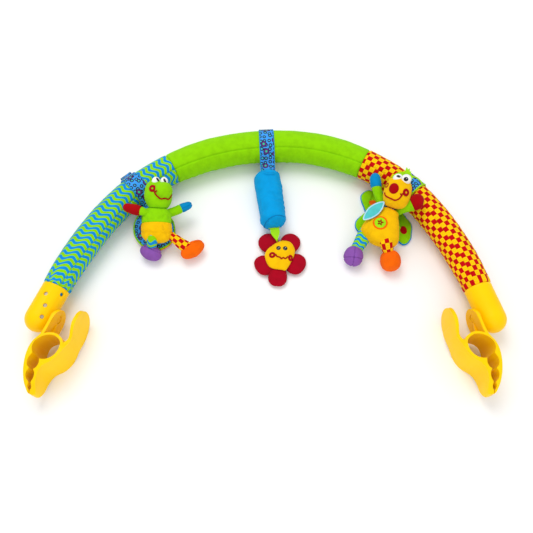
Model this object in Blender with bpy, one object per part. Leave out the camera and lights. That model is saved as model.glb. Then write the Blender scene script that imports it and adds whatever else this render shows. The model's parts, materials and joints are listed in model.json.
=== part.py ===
"""A padded stroller arch toy lying flat: a bowed fabric tube with three sleeves, two plastic end sockets
that carry spring clamps, and three soft toys hung from straps round the tube."""

import math

import bpy
import bmesh
from mathutils import Matrix, Vector
from mathutils.bvhtree import BVHTree

# Clearances
fit_gap = 0.0003
strap_gap = 0.0004
limb_gap = 0.0006
overrun = 0.004

# The arch: its centre line is a bow that strays a little from a true arc
arch_radius = 0.2378
arch_half_angle = math.radians(80)
bow_shares = ((-1.0, 1.004), (-0.875, 0.983), (-0.75, 0.977), (-0.5, 0.985), (-0.19, 0.993), (0.0, 1.0),
              (0.19, 1.017), (0.44, 1.025), (0.63, 1.015), (0.75, 1.004), (0.875, 1.002), (1.0, 1.010))
tube_radius = 0.0199
tube_swell_shares = ((0.0, 1.0), (0.25, 0.985), (0.375, 0.93), (0.5, 0.905), (0.75, 0.87), (0.9, 0.85),
                     (1.0, 0.80))
plain_share = 0.375
sleeve_wall = 0.0012
core_radius = 0.005
core_reach = 0.028
tuck_length = 0.008
gather_length = 0.0014
tube_sides = 16
core_sides = 8
strap_span = 0.042

# End sockets
socket_radius = 0.0152
socket_wall = 0.002
socket_barrel = 0.038
socket_dome = 0.016
socket_chamfer = 0.0006
left_socket_lean = math.radians(3)
right_socket_lean = math.radians(2)
hole_radius = 0.0024
hole_station_share = (0.12, 0.30, 0.62, 0.95)
hole_turn = (math.radians(62), math.radians(-2), math.radians(22), math.radians(34))

# Swivel between socket and clamp
boss_radius = 0.008
boss_height = 0.0032
swivel_station = 0.033
pin_radius = 0.0025
pin_head_radius = 0.0040
pin_head_height = 0.0012
pin_inner_share = 0.80

# Spring clamp, drawn with the middle of its ring at zero and its levers pointing up
clamp_height = 0.0442
ring_radius = 0.0139
ring_wall = 0.0027
knuckle_angle = math.radians(85)
mouth_left_angle = math.radians(222.7)
mouth_right_angle = math.radians(265)
lever_lean = math.radians(7.5)
lever_wall = 0.0030
fixed_lever_reach = 0.0465
moving_lever_reach = 0.0500
pivot_up = 0.0360
pivot_left = 0.0095
clamp_unit = 0.0100
rib_thickness = 0.0018
rib_depth = 0.0040
rib_reach = 0.0170
rib_foot = 0.0150

# Straps
strap_wall = 0.0010
tail_wall = 0.0024
pendant_strap_width = 0.0172
turtle_strap_width = 0.0180
flyer_strap_width = 0.0240
tab_length = 0.0070
tab_wall = 0.0020
tab_lift = 0.0090

# Where the three toys hang, as shares of the arch's half angle, and how high in a toy's own drawing the
# tube's middle lies
turtle_share = -0.531
pendant_share = 0.0
flyer_share = 0.5625
strap_height_share = 0.221

# Turtle: places are shares of its length, from the foot of its strap on the table
turtle_length = 0.1000
turtle_place_shares = {
    "neck": (0.283, -0.324, 0.330), "seat": (0.289, -0.720, 0.190),
    "chin": (0.312, -0.350, 0.340), "crown": (0.297, -0.030, 0.460),
    "muzzle_low": (0.388, -0.292, 0.480), "muzzle_high": (0.370, -0.100, 0.520),
    "left_eye_low": (0.292, -0.125, 0.530), "left_eye_high": (0.292, -0.020, 0.550),
    "right_eye_low": (0.384, -0.130, 0.530), "right_eye_high": (0.384, -0.025, 0.550),
    "shell_high": (0.099, -0.204, 0.052), "shell_low": (0.339, -0.720, 0.052),
}
turtle_limb_shares = {
    "left_arm": ((0.281, -0.400, 0.260), (0.060, -0.440, 0.520), (0.116, -0.412, 0.394),
                 (-0.087, -0.350, 0.414)),
    "right_arm": ((0.281, -0.375, 0.280), (0.520, -0.335, 0.258), (0.552, -0.289, 0.245),
                  (0.687, -0.203, 0.230)),
    "left_leg": ((0.271, -0.595, 0.140), (0.255, -0.760, 0.400), (0.087, -0.748, 0.112),
                 (0.348, -0.868, 0.104)),
    "right_leg": ((0.361, -0.615, 0.180), (0.500, -0.700, 0.210), (0.578, -0.850, 0.115),
                  (0.829, -0.689, 0.120)),
}
turtle_radius_shares = {"torso": 0.184, "head": 0.160, "muzzle": 0.106, "eye": 0.044, "shell": 0.240,
                        "arm": 0.058, "leg": 0.060, "hand": 0.068, "foot": 0.094}
turtle_torso_depth_share = 0.75
turtle_torso_shares = (0.0, 0.70, 0.90, 0.96, 0.98, 1.0, 0.94, 0.67, 0.0)
turtle_waist_share = 0.46
turtle_head_shares = (0.0, 0.55, 0.80, 0.95, 1.0, 0.95, 0.80, 0.50, 0.0)
turtle_shell_depth_share = 0.20

# Butterfly
flyer_length = 0.1000
flyer_place_shares = {
    "neck": (-0.235, -0.325, 0.340), "seat": (-0.447, -0.736, 0.170),
    "chin": (-0.228, -0.368, 0.390), "crown": (-0.138, -0.036, 0.510),
    "nose_low": (-0.255, -0.277, 0.590), "nose_high": (-0.261, -0.159, 0.600),
    "left_eye_low": (-0.258, -0.090, 0.580), "left_eye_high": (-0.166, -0.052, 0.600),
    "right_eye_low": (-0.120, -0.150, 0.590), "right_eye_high": (-0.096, -0.048, 0.610),
    "tuft_low": (-0.115, -0.045, 0.500), "tuft_high": (-0.005, 0.135, 0.540),
    "badge_low": (-0.455, -0.623, 0.395), "badge_high": (-0.383, -0.485, 0.415),
    "tag_low": (-0.590, -0.490, 0.345), "tag_high": (-0.425, -0.362, 0.388),
}
flyer_limb_shares = {
    "left_arm": ((-0.280, -0.410, 0.230), (-0.430, -0.200, 0.320), (-0.404, -0.070, 0.350),
                 (-0.412, 0.128, 0.395)),
    "right_arm": ((-0.260, -0.440, 0.220), (-0.104, -0.434, 0.290), (-0.040, -0.338, 0.440),
                  (0.112, -0.300, 0.462)),
    "left_leg": ((-0.391, -0.590, 0.180), (-0.700, -0.840, 0.130), (-0.668, -0.712, 0.122),
                 (-0.720, -0.973, 0.122)),
    "right_leg": ((-0.351, -0.580, 0.160), (-0.300, -0.920, 0.220), (-0.272, -0.782, 0.130),
                  (-0.265, -1.046, 0.130)),
}
flyer_wing_shares = {
    "left": ((-0.42, 0.08), (-0.475, 0.105), (-0.535, 0.05), (-0.52, -0.08), (-0.475, -0.20),
             (-0.535, -0.24), (-0.61, -0.27), (-0.635, -0.34), (-0.62, -0.43), (-0.56, -0.49),
             (-0.47, -0.50)),
    "right": ((-0.12, -0.26), (-0.05, -0.24), (0.02, -0.31), (0.005, -0.42), (0.03, -0.52), (0.005, -0.60),
              (-0.07, -0.665), (-0.17, -0.62), (-0.26, -0.58)),
}
flyer_radius_shares = {"torso": 0.218, "head": 0.153, "nose": 0.058, "eye": 0.044, "tuft": 0.040,
                       "badge": 0.074, "tag": 0.054, "arm": 0.054, "leg": 0.066, "hand": 0.070,
                       "foot": 0.114}
flyer_torso_depth_share = 0.72
flyer_torso_shares = (0.0, 0.40, 0.52, 0.72, 0.90, 1.0, 0.94, 0.60, 0.0)
flyer_head_shares = (0.0, 0.60, 0.85, 0.97, 1.0, 0.97, 0.86, 0.60, 0.0)
flyer_nose_depth_share = 0.55
flyer_tuft_shares = (0.0, 0.75, 1.0, 0.9, 0.7, 0.55, 0.8, 0.5, 0.0)
flyer_badge_depth_share = 0.30
flyer_tag_depth_share = 0.12
eye_lift = 0.0012
nose_lift = 0.0016
badge_lift = 0.0012
wing_thickness = 0.0045
wing_root_gap = 0.0020
wing_seam_shares = (0.10, 0.50)
wing_lift = 0.0006

# Pendant: chime pouch, ribbon and flower
pendant_length = 0.1000
pendant_place_shares = {
    "pouch_top": (0.0, -0.378, 0.162), "pouch_end": (0.090, -1.133, 0.145),
    "pouch_aim": (0.006, -0.500, 0.220),
    "ribbon_high": (0.096, -1.150, 0.130), "ribbon_low": (0.148, -1.300, 0.080),
    "flower": (0.153, -1.494, 0.046),
}
pouch_radius = 0.0157
pouch_shares = (0.72, 0.96, 1.02, 1.03, 1.0, 0.96, 0.93, 0.90, 0.82)
pouch_wall = 0.0030
pouch_end_wall = 0.0030
chime_radius = 0.0060
chime_wall = 0.0010
chime_length_share = 0.66
ribbon_width = 0.0092
ribbon_wall = 0.0016
flower_face_radius = 0.0165
flower_face_depth_share = 0.34
petal_radius = 0.0104
petal_inner = 0.0095
petal_outer = 0.0370
petal_depth_share = 0.42
petal_angles = (math.radians(116), math.radians(58), math.radians(-27), math.radians(-95),
                math.radians(-152))
face_lift = 0.0040
hinge_gap = 0.0004

# Shapes shared by the soft pieces
egg_shares = (0.0, 0.42, 0.72, 0.92, 1.0, 0.92, 0.72, 0.42, 0.0)
small_egg_shares = (0.0, 0.62, 0.95, 0.95, 0.62, 0.0)
limb_shares = (0.80, 0.92, 1.0, 0.96, 0.60, 0.0)
limb_root_share = 0.90
soft_sides = 12
small_sides = 10

table = Vector((0, 0, 0))
up = Vector((0, 0, 1))
face_way = Vector((0, -0.5, 0.85)).normalized()
axis_height = clamp_height / 2


def clear_scene():
    for item in list(bpy.data.objects):
        bpy.data.objects.remove(item, do_unlink=True)


def surface(name, colour, roughness, metallic=0.0):
    finish = bpy.data.materials.get(name)
    if finish is None:
        finish = bpy.data.materials.new(name)
        finish.use_nodes = True
        shader = finish.node_tree.nodes["Principled BSDF"]
        shader.inputs["Base Color"].default_value = (*colour, 1.0)
        shader.inputs["Roughness"].default_value = roughness
        shader.inputs["Metallic"].default_value = metallic
    return finish


def finishes():
    return {
        "lime": surface("lime_fabric", (0.28, 0.69, 0.002), 0.9),
        "waves": surface("wave_fabric", (0.02, 0.40, 0.75), 0.9),
        "checks": surface("check_fabric", (0.65, 0.05, 0.01), 0.9),
        "rings": surface("ring_fabric", (0.07, 0.33, 0.85), 0.8),
        "yellow": surface("yellow_plush", (0.92, 0.62, 0.0), 0.95),
        "red": surface("red_plush", (0.50, 0.0, 0.01), 0.95),
        "blue": surface("blue_plush", (0.0, 0.38, 0.78), 0.95),
        "purple": surface("purple_plush", (0.25, 0.10, 0.45), 0.95),
        "orange": surface("orange_plush", (1.0, 0.17, 0.0), 0.95),
        "white": surface("white_plush", (0.85, 0.85, 0.85), 0.9),
        "teal": surface("teal_tag", (0.15, 0.65, 0.65), 0.7),
        "plastic": surface("yellow_plastic", (0.95, 0.66, 0.0), 0.4),
        "foam": surface("foam_padding", (0.9, 0.9, 0.88), 1.0),
        "core": surface("core_plastic", (0.75, 0.75, 0.72), 0.5),
        "metal": surface("chime_metal", (0.8, 0.8, 0.82), 0.3, 1.0),
    }


def empty(name, place, parent=None):
    """A body's empty stands on its joint axis and is never turned."""
    item = bpy.data.objects.new(name, None)
    bpy.context.scene.collection.objects.link(item)
    item["place"] = tuple(place)
    item.location = Vector(place) - (Vector(parent["place"]) if parent else table)
    item.parent = parent
    return item


def solid(name, body, finish, points, faces):
    """A mesh object from world points, with its origin on its body's empty."""
    home = Vector(body["place"])
    mesh = bpy.data.meshes.new(name)
    mesh.from_pydata([tuple(Vector(p) - home) for p in points], [], faces)
    shell = bmesh.new()
    shell.from_mesh(mesh)
    bmesh.ops.recalc_face_normals(shell, faces=shell.faces)
    shell.to_mesh(mesh)
    shell.free()
    mesh.materials.append(finish)
    item = bpy.data.objects.new(name, mesh)
    bpy.context.scene.collection.objects.link(item)
    item.parent = body
    mesh.shade_smooth()
    mesh.set_sharp_from_angle(angle=math.radians(35))
    return item


def loft(rings):
    """Points and faces of a closed form through rings; a ring of one point is a pole."""
    points = []
    starts = []
    for ring in rings:
        starts.append(len(points))
        points.extend(ring)
    faces = []
    for first, second in zip(range(len(rings) - 1), range(1, len(rings))):
        a, b = starts[first], starts[second]
        m, n = len(rings[first]), len(rings[second])
        for k in range(max(m, n)):
            j = (k + 1) % max(m, n)
            corners = [a + (k % m), a + (j % m), b + (j % n), b + (k % n)]
            face = [c for i, c in enumerate(corners) if c not in corners[:i]]
            faces.append(face)
    for ring, start in ((rings[0], starts[0]), (rings[-1], starts[-1])):
        if len(ring) > 1:
            faces.append([start + k for k in range(len(ring))])
    return points, faces


def hollow_loft(outer, inner):
    """A sleeve: outer rings one way, inner rings back, closed at both ends."""
    rings = outer + inner[::-1]
    points, faces = loft(rings + [outer[0]])
    count = len(outer[0])
    total = len(points) - count
    faces = [[c - total if c >= total else c for c in face] for face in faces[:-2]]
    return points[:total], faces


def circle(centre, side, rise, radius, sides, depth_share=1.0, turn_share=0.5):
    """One ring of a form, with a flat of its polygon facing down."""
    ring = []
    for k in range(sides):
        angle = 2 * math.pi * (k + turn_share) / sides
        depth = radius * depth_share * math.cos(angle)
        ring.append(centre + side * (radius * math.sin(angle)) - rise * depth)
    return ring


def cross_axes(along):
    side = along.cross(up)
    side = side.normalized() if side.length > 0.01 else Vector((1, 0, 0))
    return side, side.cross(along).normalized()


def swelling(start, end, radius, shares, depth_share=1.0, sides=soft_sides):
    """A stuffed form between two places: radii are shares of its radius, closest together at its ends."""
    along = (end - start).normalized()
    side, rise = cross_axes(along)
    steps = len(shares) - 1
    rings = []
    for i, share in enumerate(shares):
        place = start.lerp(end, (1 - math.cos(math.pi * i / steps)) / 2)
        if share == 0:
            rings.append([place])
        else:
            rings.append(circle(place, side, rise, radius * share, sides, depth_share))
    return loft(rings)


def grown(item, gap):
    """A hidden cutter: the item's own mesh, pushed out by a gap along its normals."""
    mesh = item.data.copy()
    shell = bmesh.new()
    shell.from_mesh(mesh)
    shell.normal_update()
    shifts = [vertex.normal * gap * 1.15 for vertex in shell.verts]
    for vertex, shift in zip(shell.verts, shifts):
        vertex.co += shift
    shell.to_mesh(mesh)
    shell.free()
    cutter = bpy.data.objects.new(item.name + "_cutter", mesh)
    bpy.context.scene.collection.objects.link(cutter)
    cutter.parent = item.parent
    cutter.display_type = 'WIRE'
    cutter.hide_render = True
    return cutter


def boolean(item, tool, kind='DIFFERENCE'):
    modifier = item.modifiers.new(kind.lower() + "_" + tool.name, 'BOOLEAN')
    modifier.operation = kind
    modifier.solver = 'EXACT'
    modifier.object = tool
    tool.display_type = 'WIRE'
    tool.hide_render = True
    return item


def tree_of(item):
    """The item's surface in world places, for seating what touches it."""
    home = Vector(item.parent["place"])
    points = [home + vertex.co for vertex in item.data.vertices]
    return BVHTree.FromPolygons(points, [tuple(p.vertices) for p in item.data.polygons])


def seat(tree, outside, inside, reach):
    """The place between outside and inside that lies at a given reach from the surface."""
    low, high = 0.0, 1.0
    for _ in range(40):
        middle = (low + high) / 2
        place = outside.lerp(inside, middle)
        hit, normal, _, distance = tree.find_nearest(place)
        beyond = (place - hit).dot(normal) > 0
        if beyond and distance > reach:
            low = middle
        else:
            high = middle
    return outside.lerp(inside, low)


def perched(item, low, high, lift):
    """Both ends of a small form, moved along the faces' way so that its middle stands on the item."""
    tree = tree_of(item)
    middle = (low + high) / 2
    far = middle + face_way * clamp_unit * 4
    on = seat(tree, far, middle - face_way * clamp_unit, lift)
    return low + on - middle, high + on - middle


# Centre line of the arch
def eased(table_of_shares, value):
    """A smooth curve through a table of shares (cubic, with slopes from its neighbours)."""
    places = [row[0] for row in table_of_shares]
    heights = [row[1] for row in table_of_shares]
    last = len(places) - 1
    k = min(max(sum(1 for p in places if p <= value) - 1, 0), last - 1)

    def slope(i):
        a, b = max(i - 1, 0), min(i + 1, last)
        return (heights[b] - heights[a]) / (places[b] - places[a])

    span = places[k + 1] - places[k]
    t = (value - places[k]) / span
    return ((2 * t ** 3 - 3 * t ** 2 + 1) * heights[k] + (t ** 3 - 2 * t ** 2 + t) * span * slope(k)
            + (3 * t ** 2 - 2 * t ** 3) * heights[k + 1] + (t ** 3 - t ** 2) * span * slope(k + 1))


def arch_place(share):
    angle = share * arch_half_angle
    radius = arch_radius * eased(bow_shares, share)
    return Vector((radius * math.sin(angle), radius * math.cos(angle), axis_height))


def arch_frame(share):
    """Place, direction towards the right end, and direction away from the middle of the arch."""
    step = 0.002
    low, high = max(share - step, -1.0), min(share + step, 1.0)
    along = (arch_place(high) - arch_place(low)).normalized()
    return arch_place(share), along, up.cross(along)


def strap_frame(share):
    """The straight stretch of tube under a strap: its middle, its direction and the way out of the bow."""
    low, high = arch_place(share - strap_span), arch_place(share + strap_span)
    along = (high - low).normalized()
    return (low + high) / 2, along, up.cross(along)


def tube_radius_at(share):
    return tube_radius * eased(tube_swell_shares, abs(share))


def socket_frame(sign):
    """Rim centre, direction out of the sleeve, and the side that faces the middle of the arch."""
    place, along, _ = arch_frame(sign)
    lean = right_socket_lean if sign > 0 else -left_socket_lean
    out = Matrix.Rotation(lean, 3, 'Z') @ (along * sign)
    inner = up.cross(out) * -sign
    return place, out, inner


# Arch pieces
def tube_ring(share, radius, sides=tube_sides):
    place, along, out = arch_frame(share)
    return circle(place, out, up, radius / math.cos(math.pi / sides), sides)


def end_rings(sign, radii):
    """Rings past the sleeve's end, along the socket's own direction."""
    rim, out, _ = socket_frame(sign)
    side = up.cross(out) * sign
    return [circle(rim + out * reach, side, up, radius, tube_sides) for reach, radius in radii]


def stations(low, high, strap_share, before, after):
    """Shares of the rings from one seam to the next, with one straight stretch under the strap."""
    first, second = strap_share - strap_span, strap_share + strap_span
    return ([low + (first - low) * k / before for k in range(before + 1)]
            + [second + (high - second) * k / after for k in range(after + 1)])


def sleeve(name, body, finish, low, high, shares):
    shares = list(shares)
    trim = fit_gap / (2 * arch_radius * arch_half_angle)
    shares[0] += 0 if low == -1 else trim
    shares[-1] -= 0 if high == 1 else trim
    outer = [tube_ring(s, tube_radius_at(s)) for s in shares]
    inner = [tube_ring(s, tube_radius_at(s) - sleeve_wall) for s in shares]
    tucked = socket_radius - socket_wall - fit_gap
    for sign in (-1, 1):
        if sign not in (low, high):
            continue
        radii = [(-fit_gap, socket_radius - socket_chamfer), (-fit_gap, tucked), (tuck_length, tucked)]
        more = end_rings(sign, radii)
        less = end_rings(sign, [(-fit_gap, tucked - sleeve_wall), (tuck_length, tucked - sleeve_wall)])
        end = -1 if sign == 1 else 0
        outer[end] = end_rings(sign,
                               [(-gather_length, tube_radius_at(1) / math.cos(math.pi / tube_sides))])[0]
        inner[end] = end_rings(sign, [(-gather_length, tucked - sleeve_wall)])[0]
        outer = outer + more if sign == 1 else more[::-1] + outer
        inner = inner + less if sign == 1 else less[::-1] + inner
    return solid(name, body, finish, *hollow_loft(outer, inner))


def make_arch(body, finish):
    waves = stations(-1, -plain_share, turtle_share, 5, 2)
    plain = stations(-plain_share, plain_share, pendant_share, 3, 3)
    checks = stations(plain_share, 1, flyer_share, 2, 5)
    sleeve("sleeve_waves", body, finish["waves"], -1, -plain_share, waves)
    sleeve("sleeve_plain", body, finish["lime"], -plain_share, plain_share, plain)
    sleeve("sleeve_checks", body, finish["checks"], plain_share, 1, checks)
    shares = waves[1:-1] + plain + checks[1:-1]
    outer = [tube_ring(s, tube_radius_at(s) - sleeve_wall - fit_gap) for s in shares]
    inner = [tube_ring(s, core_radius / math.cos(math.pi / core_sides) + fit_gap) for s in shares]
    solid("foam_padding", body, finish["foam"], *hollow_loft(outer, inner))
    rings = [tube_ring(s, core_radius, core_sides) for s in [-1] + shares + [1]]
    for sign, end in ((-1, 0), (1, -1)):
        rim, out, _ = socket_frame(sign)
        side = up.cross(out) * sign
        ring = circle(rim + out * core_reach, side, up, core_radius / math.cos(math.pi / core_sides),
                      core_sides)
        rings.insert(0 if end == 0 else len(rings), ring)
    solid("core_rod", body, finish["core"], *loft(rings))


# Sockets and swivels
def turned(name, body, finish, place, out, profile, sides, inner_profile=None):
    """A turned piece: profile rows are (distance along, radius), with a pole where the radius is zero."""
    side, rise = cross_axes(out)

    def rings(rows):
        return [[place + out * reach] if radius == 0
                else circle(place + out * reach, side, rise, radius, sides)
                for reach, radius in rows]

    if inner_profile is None:
        return solid(name, body, finish, *loft(rings(profile)))
    return solid(name, body, finish, *loft(rings(profile[::-1] + inner_profile)))


def guide(name, body, place, out, reach, radius, sides=small_sides):
    """A round cutter or boss along a direction."""
    rows = [(low_high, radius) for low_high in reach]
    item = turned(name, body, None, place, out, rows, sides)
    item.display_type = 'WIRE'
    item.hide_render = True
    return item


def dome_rows(radius, length, start, steps):
    return [(start + length * math.sin(math.pi / 2 * k / steps), radius * math.cos(math.pi / 2 * k / steps))
            for k in range(steps)] + [(start + length, 0)]


def make_socket(name, sign, body, finish, holes_up):
    rim, out, inner = socket_frame(sign)
    bore = socket_radius - socket_wall
    outside = [(0, socket_radius - socket_chamfer), (socket_chamfer, socket_radius)]
    outside += dome_rows(socket_radius, socket_dome, socket_barrel, 5)
    inside = [(0, bore)] + dome_rows(bore, socket_dome - socket_wall, socket_barrel, 3)
    item = turned(name, body, finish["plastic"], rim, out, outside, tube_sides, inside)
    pivot = rim + out * swivel_station
    boss_top = socket_radius + boss_height
    boolean(item, guide(name + "_boss", body, pivot, inner, (bore + socket_wall / 2, boss_top), boss_radius,
                        tube_sides), 'UNION')
    boolean(item, guide(name + "_pin_hole", body, pivot, inner, (0, boss_top + overrun),
                        pin_radius + fit_gap))
    for k, (station, turn) in enumerate(zip(hole_station_share, hole_turn)):
        face = up if holes_up else -up
        aim = Matrix.Rotation(turn * sign * (1 if holes_up else -1), 3, out) @ face
        place = rim + out * (socket_barrel * station + hole_radius)
        boolean(item, guide(f"{name}_hole_{k}", body, place, aim, (bore / 2, socket_radius + overrun),
                            hole_radius))
    return pivot, inner


def make_swivel_pin(name, body, finish, pivot, inner):
    shank_end = socket_radius + boss_height + fit_gap + lever_wall - pin_head_height - fit_gap
    low = (socket_radius - socket_wall) * pin_inner_share
    neck = low + pin_head_height
    top = shank_end + pin_head_height
    rows = [(low, pin_head_radius), (neck, pin_head_radius), (neck, pin_radius), (shank_end, pin_radius),
            (shank_end, pin_head_radius), (top, pin_head_radius)]
    turned(name, body, finish["plastic"], pivot, inner, rows, small_sides)


# Clamp outlines, drawn in tenths of a unit size with the ring's middle at zero
def arc(radius, start, end, steps):
    return [(radius * math.cos(start + (end - start) * k / steps),
             radius * math.sin(start + (end - start) * k / steps))
            for k in range(steps + 1)]


def scaled(shares):
    return [(x * clamp_unit, y * clamp_unit) for x, y in shares]


fixed_outer_shares = ((-1.55, 0.40), (-1.65, -0.40), (-1.64, -1.20), (-1.54, -2.00), (-1.37, -2.80),
                      (-1.14, -3.55), (-0.86, -4.25), (-0.62, -4.65), (-0.46, -4.76))
fixed_inner_shares = ((-0.47, -4.46), (-0.60, -4.30), (-0.65, -4.08), (-0.58, -3.78), (-0.85, -3.52),
                      (-1.00, -3.18), (-0.99, -2.82), (-0.85, -2.50), (-1.12, -2.26), (-1.26, -1.88),
                      (-1.22, -1.40))
moving_outer_shares = ((2.06, 3.00), (2.10, 2.20), (2.12, 1.60), (2.05, 1.00), (1.90, 0.35), (1.74, -0.25),
                       (1.48, -0.85), (1.10, -1.36), (0.65, -1.74), (0.32, -2.16), (0.15, -2.68),
                       (0.12, -3.25), (0.20, -3.85), (0.28, -4.35), (0.20, -4.70), (-0.05, -4.82),
                       (-0.38, -4.78))
moving_inner_shares = ((-0.37, -4.46), (-0.26, -4.30), (-0.21, -4.08), (-0.30, -3.74), (-0.16, -3.42),
                       (-0.12, -3.10), (-0.18, -2.78), (-0.36, -2.52), (-0.14, -2.28), (-0.02, -1.92),
                       (-0.05, -1.62))
moving_lever_shares = ((1.52, 0.84), (1.74, 1.25), (1.80, 1.60), (1.76, 2.20), (1.68, 3.00))
# Half the clamp's height along its length, as shares of its full half height
fixed_height_shares = ((4.65, 0.05), (4.50, 0.33), (4.15, 0.56), (3.60, 0.72), (3.00, 0.755), (1.80, 0.745),
                       (1.30, 0.78), (0.80, 0.84), (0.30, 0.94), (-0.40, 1.0), (-1.40, 1.0), (-2.40, 0.93),
                       (-3.20, 0.82), (-3.90, 0.66), (-4.40, 0.44), (-5.10, 0.20))
moving_height_shares = ((5.00, 0.05), (4.90, 0.33), (4.65, 0.58), (4.20, 0.81), (3.60, 0.96), (3.00, 1.0),
                        (2.40, 0.96), (1.80, 0.83), (1.30, 0.77), (0.80, 0.82), (0.30, 0.94), (-0.40, 1.0),
                        (-1.40, 1.0), (-2.40, 0.93), (-3.20, 0.82), (-3.90, 0.66), (-4.40, 0.44),
                        (-5.10, 0.20))


def knuckle_place():
    middle = ring_radius + ring_wall / 2
    return middle * math.cos(knuckle_angle), middle * math.sin(knuckle_angle)


def lever_face(height):
    """The outer face of the fixed lever at a height in the drawing."""
    return -pivot_left - math.tan(lever_lean) * (pivot_up - height)


def fixed_outline():
    outer_radius = ring_radius + ring_wall
    across = lever_wall / math.cos(lever_lean)
    foot = clamp_unit * 1.2
    root = clamp_unit * 1.36
    knuckle_x, knuckle_y = knuckle_place()
    back = math.atan2(root, lever_face(root) + across)
    end = fixed_lever_reach + overrun
    points = [(lever_face(end), end), (lever_face(foot), foot)]
    points += scaled(fixed_outer_shares) + scaled(fixed_inner_shares)
    points += arc(ring_radius, mouth_left_angle, knuckle_angle, 9)[:-1]
    turn = knuckle_angle - math.pi
    points += [(knuckle_x + x, knuckle_y + y) for x, y in arc(ring_wall / 2, turn, turn + math.pi, 6)]
    points += arc(outer_radius, knuckle_angle, back, 4)[1:]
    points += [(lever_face(end) + across, end)]
    return points


def moving_outline():
    outer_radius = ring_radius + ring_wall
    knuckle_x, knuckle_y = knuckle_place()
    seat_radius = ring_wall / 2 + fit_gap
    clear = math.sqrt(seat_radius ** 2 - (ring_wall / 2) ** 2)
    inner_start = knuckle_angle - clear / ring_radius
    outer_start = knuckle_angle - clear / outer_radius
    half = math.atan2(ring_wall / 2, clear)
    along = knuckle_angle - math.pi / 2
    points = arc(ring_radius, mouth_right_angle - 2 * math.pi, inner_start, 13)
    socket = arc(seat_radius, along - half, along + half, 4)[1:-1]
    points += [(knuckle_x + x, knuckle_y + y) for x, y in socket]
    points += arc(outer_radius, outer_start, math.radians(30), 6)
    lever = scaled(moving_lever_shares)
    outside = scaled(moving_outer_shares)
    points += lever
    end = moving_lever_reach + overrun
    points += [(lever[-1][0], end), (outside[0][0], end)]
    points += outside + scaled(moving_inner_shares)
    return points


def plate(name, body, finish, outline, place, half):
    low = [place(x, y, -half) for x, y in outline]
    high = [place(x, y, half) for x, y in outline]
    return solid(name, body, finish, *loft([low, high]))


def clamp_half(name, body, finish, outline, height_shares, place, rib=(), holes=()):
    """An outline as a plate of the clamp's full height, trimmed by the wavy side profile."""
    half = clamp_height / 2
    item = plate(name, body, finish, outline, place, half + overrun)
    if rib:
        boolean(item, plate(name + "_rib", body, None, rib, place, rib_thickness / 2), 'UNION')
    for hole in holes:
        boolean(item, hole)
    wide = clamp_unit * 4
    edge = [(y * clamp_unit, share * half) for y, share in height_shares]
    loop = edge + [(y, -h) for y, h in edge[::-1]]
    low = [place(-wide, y, h) for y, h in loop]
    high = [place(wide, y, h) for y, h in loop]
    profile = solid(name + "_profile", body, None, *loft([low, high]))
    boolean(item, profile, 'INTERSECT')
    return item


def make_clamp(side, sign, arch_body, finish, pivot, inner):
    """A spring clamp that swivels flat against its socket; its moving half hinges at the back of the ring."""
    _, out, _ = socket_frame(sign)
    face = pivot + inner * (socket_radius + boss_height + fit_gap)
    back = -out
    cosine, sine = math.cos(lever_lean), math.sin(lever_lean)

    def place(x, y, z):
        across, along = x + pivot_left, y - pivot_up
        flat = inner * (across * cosine - along * sine) + back * (across * sine + along * cosine)
        return face + flat + up * z

    swivel = empty(side + "_clamp_swivel", face, arch_body)
    knuckle = empty(side + "_clamp_squeeze", place(*knuckle_place(), 0), swivel)
    foot = (lever_face(rib_foot) + lever_wall / 2, rib_foot - ring_wall / 2)
    rib = [foot, (foot[0] + rib_depth + lever_wall / 2, foot[1]),
           (lever_face(rib_foot + rib_reach) + lever_wall, rib_foot + rib_reach),
           (lever_face(rib_foot + rib_reach) + lever_wall / 2, rib_foot + rib_reach)]
    counterbore = (lever_wall - pin_head_height - 2 * fit_gap, lever_wall + overrun)
    holes = [guide(side + "_pin_way", swivel, face, inner, (-overrun, lever_wall + overrun),
                   pin_radius + fit_gap),
             guide(side + "_pin_sink", swivel, face, inner, counterbore, pin_head_radius + fit_gap)]
    clamp_half(side + "_clamp_frame", swivel, finish["plastic"], fixed_outline(), fixed_height_shares,
               place, rib, holes)
    clamp_half(side + "_clamp_lever", knuckle, finish["plastic"], moving_outline(), moving_height_shares,
               place)
    return swivel, knuckle


# Straps
def strap(name, body, finish, share, width, tail_end, skew=0.0, tab=0.0):
    """A band round the tube with a flat tail towards the toy, and a rounded end on the tail."""
    place, along, out = strap_frame(share)
    widest = max(tube_radius_at(share - strap_span / 2), tube_radius_at(share + strap_span / 2))
    radius = widest / math.cos(math.pi / tube_sides) + strap_gap
    outer = radius + strap_wall
    half = tail_wall / 2
    spread = math.asin(half / outer)
    band = arc(outer, math.pi - spread, -math.pi + spread, tube_sides)
    tip = [(x - tail_end, y) for x, y in arc(half, -math.pi / 2, -3 * math.pi / 2, 4)]
    sides = []
    for sign in (-1, 1):
        slant = skew * sign * width / 2
        loop = band + [(x + slant, y) for x, y in tip]
        sides.append([place + out * x + up * y + along * (sign * width / 2) for x, y in loop])
    item = solid(name, body, finish["rings"], *loft(sides))
    if tab:
        tab_width = width * 0.8
        rows = [(outer * 0.8, tab_lift), (outer + tab, tab_lift), (outer + tab, tab_lift + tab_wall),
                (outer * 0.8, tab_lift + tab_wall)]
        near = [place + out * x + up * y - along * (tab_width / 2) for x, y in rows]
        far = [place + out * x + up * y + along * (tab_width / 2) for x, y in rows]
        boolean(item, solid(name + "_tab", body, None, *loft([near, far])), 'UNION')
    rings = [circle(place + along * reach, out, up, radius / math.cos(math.pi / tube_sides), tube_sides,
                    1.0, 0.0)
             for reach in (-width, width)]
    boolean(item, solid(name + "_bore", body, None, *loft(rings)))
    return item


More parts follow.
